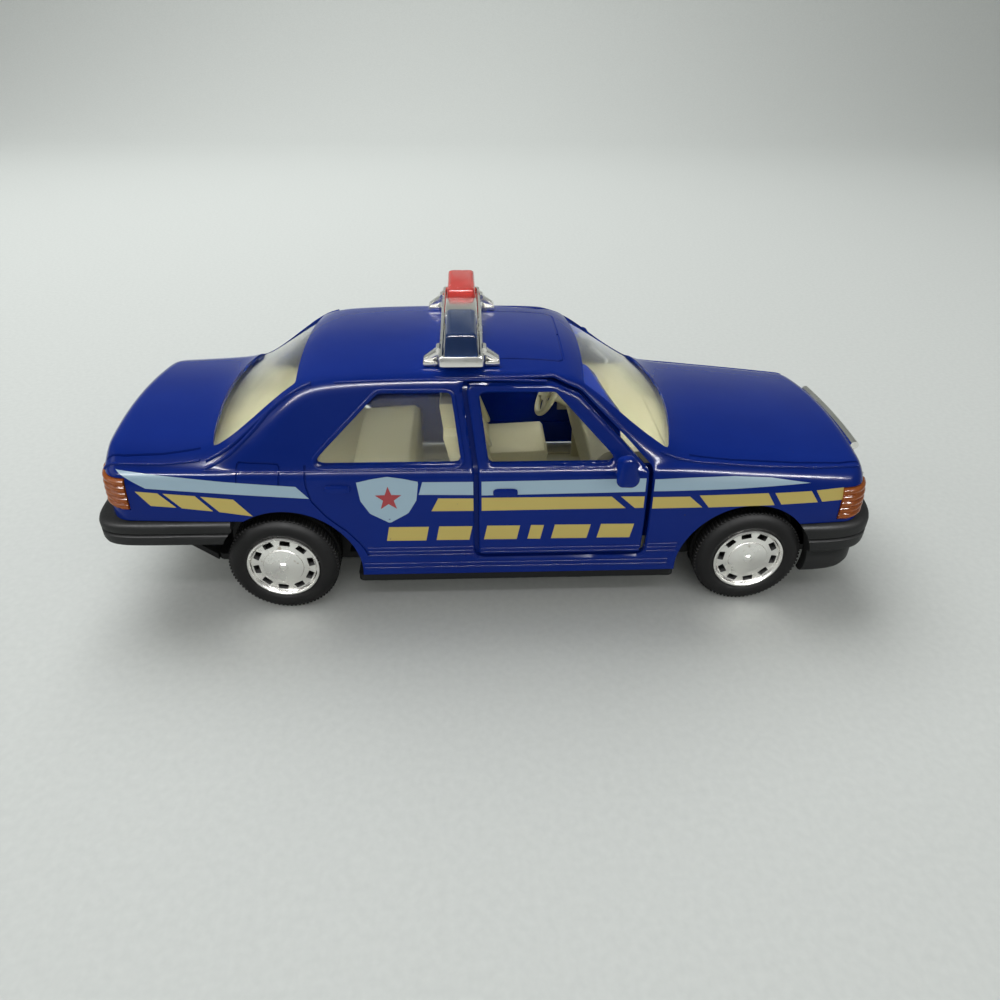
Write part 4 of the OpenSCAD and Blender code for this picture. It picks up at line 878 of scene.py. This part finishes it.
# Front doors: thin castings of the same enamel on a pinned leaf, with an open window in a cast frame.
# The handle is cast on, and the sill ribs run on across the lower edge.
door_x = np.unique(np.concatenate([np.linspace(-5.6, -2.4, 20), np.linspace(-2.4, 21.4, 70),
                                   np.linspace(21.4, 23.4, 12)]).round(4))
door_lips = [(door_outline, True), (door_window, False)]
right_door = closed_loft("right_door_skin", soft_lips(body_sections(door_x, 0, sill_z, 150), door_lips, 0.4), 2)
door_core = closed_loft("door_core", body_sections(np.linspace(-6.5, 24.5, 40), 1.0, sill_z - 1, 60), 2)
carve(right_door, [prism("door_block", door_outline, -24, -9)], "INTERSECT")
carve(right_door, [door_core, prism("door_window_hole", door_window, -24, -8)])
finish_mesh(right_door, blue_enamel, cast_angle)
belt = level_run(-2.7, 17.6, belt_bead_z, 40)
right_door_trim = join("right_door_trim", [
    handle_on("front_handle", -1.0, 22.35, 3.7, 1.25), side_ribs(-2.9, 22.3, 11.9, 2, door_pitch),
    bead("door_belt", side_point(belt[:, 0], belt[:, 1], belt_sink), belt_r, blue_enamel)])
left_door = mirrored(right_door, "left_door_skin")
left_door_trim = mirrored(right_door_trim, "left_door_trim")
for piece in (left_door, left_door_trim):
    finish_mesh(piece, blue_enamel, cast_angle)
for side_name, door, trim in (("right", right_door, right_door_trim), ("left", left_door, left_door_trim)):
    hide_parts(side_name + "_front_door")
    for piece in (door, trim):
        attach(piece, side_name + "_door")

# Door mirrors: solid plastic drops on a short foot, sprayed with the shell.
# Each drop is the hull of a few balls, pushed with its foot into the door below the window.
mirror_y = half_w - float(side_in(np.array(belt_z - 1.5))) + seat_gap
mirror_at = np.array([18.2, -mirror_y, belt_z - 1])
drop_angle = 50


def ball(centre, d, n=22):
    u, v = np.meshgrid(np.linspace(0, math.pi, n), np.linspace(0, 2 * math.pi, 2 * n, False))
    points = np.stack([np.sin(u) * np.cos(v), np.sin(u) * np.sin(v), np.cos(u)], -1)
    return np.asarray(centre) + d / 2 * points.reshape(-1, 3)


def hull_of(name, balls):
    body = bmesh.new()
    for point in (np.concatenate([ball(*each) for each in balls]) + mirror_at) * mm:
        body.verts.new(point)
    made = bmesh.ops.convex_hull(body, input=body.verts)
    inner = [item for item in made["geom_interior"] if isinstance(item, bmesh.types.BMVert)]
    bmesh.ops.delete(body, geom=inner, context="VERTS")
    bmesh.ops.recalc_face_normals(body, faces=body.faces)
    piece = from_bmesh(name, body, [])
    finish_mesh(piece, blue_enamel, drop_angle)
    return piece


mirror_foot = hull_of("mirror_foot", [((0, -1.5, 1.5), 1.5), ((-0.35, -0.1, 0.75), 1.2),
                                      ((0.35, -0.1, 0.75), 1.2)])
mirror_drop = hull_of("mirror_drop", [
    ((0.65, -3.2, 1.9), 2.7), ((0.1, -3.3, 4.6), 2.3), ((-0.6, -4.0, 2.0), 1.9), ((-0.6, -2.5, 4.3), 1.6),
    ((0, -1.9, 2.5), 1.5)])
right_mirror = join("right_mirror_drop", [mirror_foot, mirror_drop])
left_mirror = mirrored(right_mirror, "left_mirror_drop")
for side_name, piece in (("right", right_mirror), ("left", left_mirror)):
    finish_mesh(piece, blue_enamel, drop_angle)
    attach(piece, side_name + "_door")
    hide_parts(side_name + "_mirror")

# Glazing: clear plastic screens and rear side windows, glued behind their openings in the shell.
# Old handled plastic: slightly yellow, with a milky haze in clouds.
clear_plastic = handled_finish("clear_plastic", (0.97, 0.97, 0.94), (0.90, 0.90, 0.82), (90, 0.03, 0.16),
                               Transmission_Weight=1.0, IOR=1.4)
pane_angle, pane_gap, screen_seat, screen_wall = 40, 0.05, 0.6, 0.7


def pane(name, upper, lower):
    rows, cols = upper.shape[:2]
    count = rows * cols
    faces = grid_faces(rows, cols) + [tuple(reversed(face)) for face in grid_faces(rows, cols, count)]
    rim = ([(0, j) for j in range(cols)] + [(i, cols - 1) for i in range(1, rows)]
           + [(rows - 1, j) for j in range(cols - 2, -1, -1)] + [(i, 0) for i in range(rows - 2, 0, -1)])
    ids = [i * cols + j for i, j in rim]
    faces += [(a, b, b + count, a + count) for a, b in zip(ids, ids[1:] + ids[:1])]
    points = np.concatenate([upper.reshape(-1, 3), lower.reshape(-1, 3)])
    return make_piece(name, points, faces, clear_plastic, pane_angle)


def screen_pane(name, foot, head, bow, foot_w, head_w):
    inward = math.copysign(pane_gap, head - foot)
    foot, head, foot_w, head_w = foot + inward, head - inward, foot_w - pane_gap, head_w - pane_gap
    u, v = np.meshgrid(np.linspace(-1, 1, 41), np.linspace(0, 1, 30))
    x = (foot - bow * u * u) * (1 - v) + (head - bow / 3 * u * u) * v
    y = u * (foot_w * (1 - v) + head_w * v)
    seats = (screen_seat, screen_seat + screen_wall)
    return pane(name, *[np.stack([x, y, top_z(x, np.abs(y), inset)], -1) for inset in seats])


quarter = patch(offset_outline(quarter_corners, 0.55), 24, 20)
quarter_faces = [side_point(quarter[..., 0], quarter[..., 1], 0, inset) for inset in (1.3, 1.9)]
right_pane = pane("right_quarter", *quarter_faces)
glazing = join("glazing", [screen_pane("windscreen", *front_screen_sizes),
                           screen_pane("backlight", *rear_screen_sizes),
                           mirrored(right_pane, "left_quarter"), right_pane])
finish_mesh(glazing, clear_plastic, pane_angle)
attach(glazing, "body")
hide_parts("window_glazing")

# Interior: cream plastic mouldings, a floor pan with the rear bench, two bucket seats, the dashboard
# and the steering wheel, all pressed on the base before the shell is screwed down.
cream_plastic = handled_finish("cream_plastic", (0.56, 0.53, 0.32), (0.67, 0.64, 0.43), (80, 0.38, 0.55),
                               peel=(1500, 0.03))
moulded_angle = 40


def bevelled(piece, width, material, segments=4):
    step = piece.modifiers.new("edge", "BEVEL")
    step.width = width * mm
    step.segments = segments
    step.limit_method = "ANGLE"
    step.angle_limit = math.radians(30)
    apply_modifiers(piece)
    finish_mesh(piece, material, moulded_angle)
    return piece


def soft_box(name, lo, hi, width, material, segments=2):
    return bevelled(box_cutter(name, lo, hi), width, material, segments)


floor_top, seat_z, seat_back_z, seat_y, seat_half_w = 6.85, 16.0, 28.4, 8.4, 5.8
rest_half_w, bolster_half_w = 3.2, 0.9
cushion = [(-3.6, floor_top), (9, floor_top), (10, 15.4), (9.4, seat_z), (-0.6, seat_z - 0.5), (-1.0, seat_z),
           (-5.4, 28.0), (-5.9, seat_back_z), (-8.4, seat_back_z), (-8.6, 28.0)]
rest = [(-5.7, 27.6), (-6.5, 32.2), (-7.0, 32.6), (-8.9, 32.6), (-9.1, 32.2), (-8.5, 27.6)]
bolster = [(-1.9, 16.4), (-0.2, 16.6), (-4.4, 27.2), (-5.8, 27.0)]
for side_name, y in (("right", -seat_y), ("left", seat_y)):
    blocks = [(cushion, y, seat_half_w, 0.8), (rest, y, rest_half_w, 0.9)]
    blocks += [(bolster, y + s * (seat_half_w - bolster_half_w), bolster_half_w, 0.5) for s in (-1, 1)]
    seat = join(side_name + "_bucket_seat", [
        bevelled(prism("seat_block", outline, middle - half, middle + half), width, cream_plastic)
        for outline, middle, half, width in blocks])
    finish_mesh(seat, cream_plastic, moulded_angle)
    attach(seat, "body")
    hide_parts(side_name + "_front_seat")

side_tray = soft_box("side_tray", (-19.6, -21.1, 6.9), (27.4, -16.9, 7.3), 0.12, cream_plastic)
parcel_shelf = soft_box("parcel_shelf", (-47.6, -17.6, 25.9), (-37.4, 17.6, 26.5), 0.15, cream_plastic)
dash_plan = [(21.5, -16.2), (24.5, -16.4), (26, -17.6), (29.6, -17.6), (29.6, 17.6), (26, 17.6), (24.5, 16.4),
             (21.5, 16.2)]
dash_shelf = bevelled(prism("dash_shelf", dash_plan, 25.6, 26.2, "z"), 0.15, cream_plastic, 2)
cabin_edges = join("cabin_edges", [side_tray, mirrored(side_tray, "side_tray"), parcel_shelf, dash_shelf])
finish_mesh(cabin_edges, cream_plastic, moulded_angle)
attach(cabin_edges, "body")

# Bumpers: matt black mouldings that clip to the base and wrap round to the wheel arches, the front one
# with a deep spoiler, both with a rubbing groove along the bar.
black_plastic = handled_finish("black_plastic", (0.008, 0.0085, 0.009), (0.020, 0.021, 0.021),
                               (110, 0.42, 0.62), peel=(1800, 0.035), Specular_IOR_Level=0.2)
bumper_half_w, bumper_angle = 22.725, 45


def bumper(name, x0, reach, power, section, direction):
    a = np.linspace(-1, 1, 221) * math.pi / 2
    c, s = np.abs(np.cos(a)) ** (2 / power), np.sign(a) * np.abs(np.sin(a)) ** (2 / power)
    rings = [[(direction * (x0 + (reach - inset) * along), (bumper_half_w - inset) * across, z)
              for inset, z in section] for along, across in zip(c, s)]
    return tube(name, rings, black_plastic, bumper_angle)


front_section = [(2.0, 5.9), (1.35, 6.2), (1.1, 6.9), (1.1, 8.6), (1.2, 10.2), (1.3, 10.55), (0.4, 10.7),
                 (0.08, 11.0), (0, 11.5), (0, 12.9), (0.12, 13.0), (0.4, 13.08), (0.4, 13.4), (0.12, 13.48),
                 (0, 13.6), (0, 14.8), (0.1, 15.2), (0.35, 15.6), (0.9, 15.8), (4.4, 15.8), (4.4, 14.4),
                 (2.7, 14.2), (2.9, 10.8), (2.9, 5.9)]
rear_section = [(3.2, 12.4), (2.5, 12.6), (2.2, 13.2), (2.2, 13.9), (0.6, 14.05), (0.12, 14.35), (0, 14.9),
                (0, 15.9), (0.1, 16.0), (0.35, 16.08), (0.35, 16.4), (0.1, 16.48), (0, 16.6), (0, 17.4),
                (0.1, 17.75), (0.35, 18.05), (0.9, 18.2), (4.4, 18.2), (4.4, 16.8), (3.8, 16.6), (3.8, 12.4)]
front_bumper = bumper("front_bumper_bar", 44, 18.5, 5, front_section, 1)
rear_bumper = bumper("rear_bumper_bar", 41, 21.5, 9, rear_section, -1)
for piece, place, node_name in ((front_bumper, arch_at[0], "front_bumper"),
                                (rear_bumper, arch_at[1], "rear_bumper")):
    carve(piece, [prism("arch", arch_circle(*place), -26, 26)])
    finish_mesh(piece, black_plastic, bumper_angle)
    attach(piece, "body")
    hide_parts(node_name)

# Corner lamps: ribbed amber plastic lenses, and fluted clear headlights beside the grille, pushed into
# the shell from inside. They carry on the curve of the body.
def lens_plastic(name, first, second, transmission):
    return handled_finish(name, first, second, (150, 0.14, 0.3), Transmission_Weight=transmission, IOR=1.46,
                          Coat_Weight=0.1, Specular_IOR_Level=0.35)


amber_plastic = lens_plastic("amber_plastic", (0.34, 0.078, 0.008), (0.46, 0.115, 0.012), 0.15)
lamp_plastic = lens_plastic("lamp_plastic", (0.78, 0.79, 0.77), (0.70, 0.71, 0.69), 0.2)
lens_angle, rib_height, end_rib = 50, 0.42, 0.2


def corner_lens(name, xs, lo, hi, material, pitch):
    rings = body_sections(xs, 0, sill_z, 260)
    if pitch:
        wave = rib_height * np.abs(np.sin(math.pi * (rings[..., 2] - lo[2]) / pitch)) ** 0.7
        rings = rings + skin_normals(rings) * wave[..., None]
        end = -1 if xs[-1] > 0 else 0
        rings[end, :, 0] += math.copysign(end_rib, xs[-1])
    lens = closed_loft(name, rings, 30)
    carve(lens, [box_cutter("lens_box", lo, hi)], "INTERSECT")
    finish_mesh(lens, material, lens_angle)
    return lens


nose_run = np.concatenate([np.linspace(48, nose_x - corner_r, 12),
                           nose_x - corner_r * (1 - np.cos(np.linspace(1.5, 0, 24)))])
tail_run = np.concatenate([tail_x + corner_r * (1 - np.cos(np.linspace(0, 1.5, 24))),
                           np.linspace(tail_x + corner_r, -48, 12)])
lens_gap, lens_over, lens_y = 0.1, 1.2, 25
lenses = [("indicator", nose_run, (nose_x - indicator_deep + lens_gap, -lens_y, lamp_z),
           (nose_x + lens_over, -indicator_y[0] - seat_gap, lamp_z + indicator_h), amber_plastic, 1.04),
          ("headlight", nose_run, (nose_x - headlight_deep + lens_gap, -headlight_y[1] + seat_gap, lamp_z),
           (nose_x + lens_over, -headlight_y[0] - seat_gap, lamp_z + headlight_h), lamp_plastic, 0),
          ("tail_lamp", tail_run, (tail_x - lens_over, -lens_y, tail_lamp_z),
           (tail_x + tail_lamp_deep - seat_gap, -tail_lamp_y[0] - seat_gap, tail_lamp_z + tail_lamp_h),
           amber_plastic, 0.96)]
for lens_name, xs, lo, hi, material, rib in lenses:
    right_lens = corner_lens("right_" + lens_name + "_lens", xs, lo, hi, material, rib)
    if lens_name == "headlight":
        flute = soft_box("lens_flutes", (nose_x - 1.6, -16.35, lamp_z + 0.5),
                         (nose_x - 0.45, -15.95, lamp_z + 5.5), 0.12, material)
        grow(flute, rib_tree, {"Count": 8, "Pitch": (0.042 * mm, 0.66 * mm, 0)}, material)
        right_lens = join("right_headlight_lens", [right_lens, flute])
        finish_mesh(right_lens, material, lens_angle)
    left_lens = mirrored(right_lens, "left_" + lens_name + "_lens")
    finish_mesh(left_lens, material, lens_angle)
    for side_name, lens in (("right_", right_lens), ("left_", left_lens)):
        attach(lens, "body")
        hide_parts(side_name + lens_name)

# Grille: a plated moulding with upright bars in a frame, and a bright lip that follows the nose.
# Its vacuum plating is worn through to the plastic in specks.
plated_plastic = handled_finish("plated_plastic", (0.80, 0.79, 0.755), (0.50, 0.46, 0.40), (120, 0.16, 0.34),
                                (380, 0.66), (900, 0.02), Metallic=1.0)
grille_z0, grille_z1, grille_y, post_y = 15.95, 23.85, 10.9, 10.6
back_plate = soft_box("back", (nose_x - 1.6, -grille_y, grille_z0), (nose_x - 0.4, grille_y, grille_z1 - 0.4),
                      0.1, plated_plastic)
slat = soft_box("grille_slats", (nose_x - 0.8, -10.4, grille_z0 + 0.3), (nose_x + 0.25, -9.75, grille_z1 - 0.5),
                0.12, plated_plastic)
grow(slat, rib_tree, {"Count": 17, "Pitch": (0, 1.26 * mm, 0)}, plated_plastic)
lip_y = np.linspace(-grille_y, grille_y, 40)
lip_x = nose_x + 0.35 - 0.5 * (lip_y / 11) ** 2
bars = [bead("lip", np.stack([lip_x, lip_y, np.full(40, z)], 1), radius, plated_plastic)
        for z, radius in ((grille_z1 + 0.1, 0.7), (grille_z0 + 0.5, 0.45))]
bars += [bead("upright", [(nose_x - 0.3, y, grille_z0 + 0.5), (nose_x - 0.3, y, grille_z1 - 0.5)], 0.45,
              plated_plastic) for y in (-post_y, 0, post_y)]
grille = join("plated_grille", [back_plate, slat] + bars)
finish_mesh(grille, plated_plastic, moulded_angle)
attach(grille, "body")
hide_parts("front_grille")

# Light bar: a plated tray on four splayed feet, glued to the roof, with a plated block between a blue
# dome on the right and a red dome on the left.
bar_x, bar_w, bar_l, bar_z, bar_top = -5.5, 6.6, 32.4, 40.4, 45.4


def rounded_box(half_x, half_y, r, steps=8):
    corners = [(-half_x, -half_y), (half_x, -half_y), (half_x, half_y), (-half_x, half_y)]
    return rounded_outline(corners, r, steps)


def stacked(name, levels, material, centre, angle=40):
    rings = [np.insert(outline + centre, 2, z, axis=1) for outline, z in levels]
    return tube(name, rings, material, angle)


tray_levels = [(rounded_box(bar_w / 2 - inset, bar_l / 2 - inset, r), bar_z + rise) for inset, r, rise in (
    (0.35, 0.5, 0), (0, 0.7, 0.3), (0, 0.7, 1.5), (0.15, 0.7, 1.75), (0.5, 0.6, 1.75), (0.62, 0.6, 1.6),
    (0.62, 0.6, 1.0))]
bar_pieces = [stacked("tray", tray_levels, plated_plastic, (bar_x, 0)),
              soft_box("block", (bar_x - 2.5, -4, bar_z + 1.0), (bar_x + 2.5, 4, bar_z + 3.8), 0.35,
                       plated_plastic, 4)]
strap_y, strap_half_w, pad_x, pad_half_l, pad_half_w, clasp_x = 12.0, 0.75, 4.6, 1.1, 1.3, 3.35
foot_z = float(top_z(np.array(bar_x), np.array(strap_y), 0)) + 0.1
strap_side = [(2.6, bar_z + 0.3), (2.6, bar_z + 1.5), (3.6, bar_z + 1.55), (4.2, bar_z + 1.1),
              (5.6, foot_z + 0.9), (5.7, foot_z + 0.3), (4.6, foot_z + 0.25), (3.6, bar_z + 0.5)]
for y in (-strap_y, strap_y):
    for e in (-1, 1):
        strap = prism("strap", [(bar_x + e * x, z) for x, z in strap_side], y - strap_half_w, y + strap_half_w)
        pad = soft_box("pad", (bar_x + e * pad_x - pad_half_l, y - pad_half_w, foot_z - 0.05),
                       (bar_x + e * pad_x + pad_half_l, y + pad_half_w, foot_z + 0.65), 0.15, plated_plastic)
        clasp = [(bar_x + e * clasp_x, y + s, bar_z + 1.5) for s in (-1.0, 1.0)]
        bar_pieces += [bevelled(strap, 0.15, plated_plastic, 2), pad,
                       bead("clasp", clasp, 0.42, plated_plastic)]
light_bar = join("light_bar_tray", bar_pieces)
finish_mesh(light_bar, plated_plastic, moulded_angle)
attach(light_bar, "body")
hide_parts("lightbar_base")
blue_dome = lens_plastic("blue_dome", (0.008, 0.030, 0.115), (0.015, 0.048, 0.155), 0.25)
red_dome = lens_plastic("red_dome", (0.60, 0.040, 0.030), (0.72, 0.065, 0.05), 0.25)
dome_z, dome_y, dome_half_w = bar_z + 1.05, 10.1, 5.85
dome_levels = [(rounded_box(half_l, dome_half_w - inset, r), z) for half_l, inset, r, z in (
    (2.5, 0, 0.5, dome_z), (2.45, 0.05, 0.5, dome_z + 0.5), (2.22, 0.3, 0.55, bar_top - 0.55),
    (2.15, 0.42, 0.6, bar_top - 0.3), (1.95, 0.65, 0.6, bar_top - 0.1), (1.65, 0.95, 0.6, bar_top))]
for colour, side, material in (("blue", -1, blue_dome), ("red", 1, red_dome)):
    dome = stacked(colour + "_dome_lens", dome_levels, material, (bar_x, side * dome_y), lens_angle)
    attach(dome, "body")
    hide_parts("lightbar_" + colour + "_dome")

# Wheels: plated plastic hubs with ten pressed slots, in soft black tyres with tread bars on both
# shoulders. Each pair is pressed on a steel axle.
tyre_rubber = handled_finish("tyre_rubber", (0.006, 0.006, 0.0062), (0.013, 0.013, 0.013), (140, 0.55, 0.75),
                             peel=(1600, 0.03), Specular_IOR_Level=0.15)
# Painted shade: the deep walls and floors of the blind hub slots are coloured near-black to stand in for the
# shadow inside the slots.
slot_painted_shade = handled_finish("slot_shadow", (0.003, 0.003, 0.003), (0.008, 0.008, 0.008), (300, 0.7, 0.9))

ring_tree, ring_in, ring_end = new_tree("ring_of", Count="Int")
ring_points = ring_tree.nodes.new("GeometryNodePoints")
ring_index = ring_tree.nodes.new("GeometryNodeInputIndex")
ring_share = node(ring_tree, "ShaderNodeMath", operation="DIVIDE")
ring_turn = node(ring_tree, "ShaderNodeMath", operation="MULTIPLY")
ring_turn.inputs[1].default_value = 2 * math.pi
ring_spin = ring_tree.nodes.new("ShaderNodeCombineXYZ")
ring_put = ring_tree.nodes.new("GeometryNodeInstanceOnPoints")
link(ring_tree, (ring_in, "Count", ring_points, "Count"), (ring_index, 0, ring_share, 0),
     (ring_in, "Count", ring_share, 1), (ring_share, 0, ring_turn, 0), (ring_turn, 0, ring_spin, "Y"),
     (ring_points, 0, ring_put, "Points"), (ring_in, "Geometry", ring_put, "Instance"),
     (ring_spin, 0, ring_put, "Rotation"), (ring_put, "Instances", ring_end, "Geometry"))


def turned(name, outline, material, steps=144):
    r, y = np.asarray(outline, float).T
    a = np.linspace(0, 2 * math.pi, steps, False)[:, None]
    rings = np.stack([r * np.cos(a), np.repeat(y[None], steps, 0), r * np.sin(a)], -1)
    n = len(r)
    faces = [(i * n + j, i * n + (j + 1) % n, (i + 1) % steps * n + (j + 1) % n, (i + 1) % steps * n + j)
             for i in range(steps) for j in range(n)]
    return make_piece(name, rings.reshape(-1, 3), faces, material)


tyre_outline = [(5.82, 0.5), (6.05, 0.2), (6.5, 0.05), (7.1, 0.0), (7.6, 0.08), (7.95, 0.28), (8.3, 0.6),
                (8.5, 0.95), (8.6, 1.25), (8.62, 2.7), (8.35, 2.85), (8.35, 3.55), (8.62, 3.7), (8.6, 5.15),
                (8.5, 5.45), (8.3, 5.8), (7.95, 6.12), (7.6, 6.32), (7.1, 6.4), (5.82, 6.4)]
rim_outline = [(0.0001, -0.02), (0.35, -0.02), (0.55, 0.12), (0.7, 0.3), (0.95, 0.36), (2.9, 0.32), (3.12, 0.4),
               (3.22, 0.58), (3.45, 0.66), (4.95, 0.72), (5.1, 0.6), (5.18, 0.3), (5.32, 0.1), (5.5, 0.04),
               (5.68, 0.12), (5.8, 0.4), (5.8, 6.4), (5.4, 6.4), (5.2, 3.4), (1.8, 3.4), (1.8, 5.9),
               (0.0001, 5.9)]
lug_outline = [(-0.19, 8.25), (0.19, 8.25), (0.16, 8.74), (-0.16, 8.74)]
slot_outline = rounded_outline([(-0.85, 3.92), (0.85, 3.92), (0.75, 4.88), (-0.75, 4.88)], 0.14, 3)
lug_count, slot_count, wheel_y, wheel_turns = 80, 10, 21.7, {"front": 0.42, "rear": 0.16}
tyre_pieces = [turned("tyre_ring", tyre_outline, tyre_rubber)]
for y0, y1 in ((0.85, 2.62), (3.78, 5.55)):
    lugs = bevelled(prism("tread_lugs", lug_outline, y0, y1), 0.05, tyre_rubber, 1)
    grow(lugs, ring_tree, {"Count": lug_count}, tyre_rubber)
    tyre_pieces.append(lugs)
wheel_tyre = join("wheel_tyre", tyre_pieces)
wheel_hub = turned("wheel_hub", rim_outline, plated_plastic)
slot_cutter = prism("slot", slot_outline, -1, 2.6)
grow(slot_cutter, ring_tree, {"Count": slot_count}, plated_plastic)
carve(wheel_hub, [slot_cutter])
finish_mesh(wheel_hub, plated_plastic)
# Faces deep inside the slots take the painted shade; the rest of the hub keeps its plating.
wheel_hub.data.materials.append(slot_painted_shade)
for face in wheel_hub.data.polygons:
    r, y = math.hypot(face.center.x, face.center.z) / mm, face.center.y / mm
    face.material_index = 1 if 3.85 < r < 4.95 and 1.0 < y < 2.8 else 0
for axle_name, x in (("front", front_x), ("rear", rear_x)):
    for side_name, side in (("right", -1), ("left", 1)):
        for source, kind, slot_name in ((wheel_tyre, "tyre", "tyre_rubber"),
                                        (wheel_hub, "rim", "plated_plastic")):
            mesh = source.data.copy()
            turn = Matrix.Rotation(math.pi, 4, "Z") if side > 0 else Matrix.Identity(4)
            spin = Matrix.Rotation(wheel_turns[axle_name], 4, "Y")
            mesh.transform(Matrix.Translation(Vector((x, side * wheel_y, axle_z)) * mm) @ turn @ spin)
            piece = add_object("_".join((axle_name, side_name, "wheel", kind)), mesh)
            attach(piece, axle_name + "_wheels")
            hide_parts("_".join((axle_name, side_name, kind)))
for source in (wheel_tyre, wheel_hub):
    bpy.data.objects.remove(source)

# Hidden works: steel axles, hinge pins, leaves and screws, and the grey pull-back motor with its white
# gears and coil spring. These, the cream floor, dashboard and steering wheel, and the black base that
# carries them all, keep the shape of their solids.
steel = handled_finish("bright_steel", (0.45, 0.45, 0.46), (0.56, 0.56, 0.57), (240, 0.22, 0.4), Metallic=1.0)
grey_plastic = handled_finish("grey_plastic", (0.22, 0.23, 0.24), (0.29, 0.30, 0.31), (120, 0.35, 0.55))
gear_plastic = handled_finish("gear_plastic", (0.70, 0.69, 0.65), (0.78, 0.77, 0.74), (120, 0.35, 0.55))
solid_finishes = (
    (cream_plastic, ("interior_tub", "dashboard", "steering_wheel")), (black_plastic, ("chassis_base",)),
    (steel, ("base_screws", "right_hinge_pin", "left_hinge_pin", "right_hinge_leaf", "left_hinge_leaf",
             "front_axle", "rear_axle", "mainspring")),
    (grey_plastic, ("motor_case", "motor_cover")), (gear_plastic, ("axle_pinion", "winding_gear")))
for material, node_names in solid_finishes:
    for node_name in node_names:
        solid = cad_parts[node_name]
        if solid.material_slots:
            for place in solid.material_slots:
                place.material = material
        else:
            solid.data.materials.append(material)
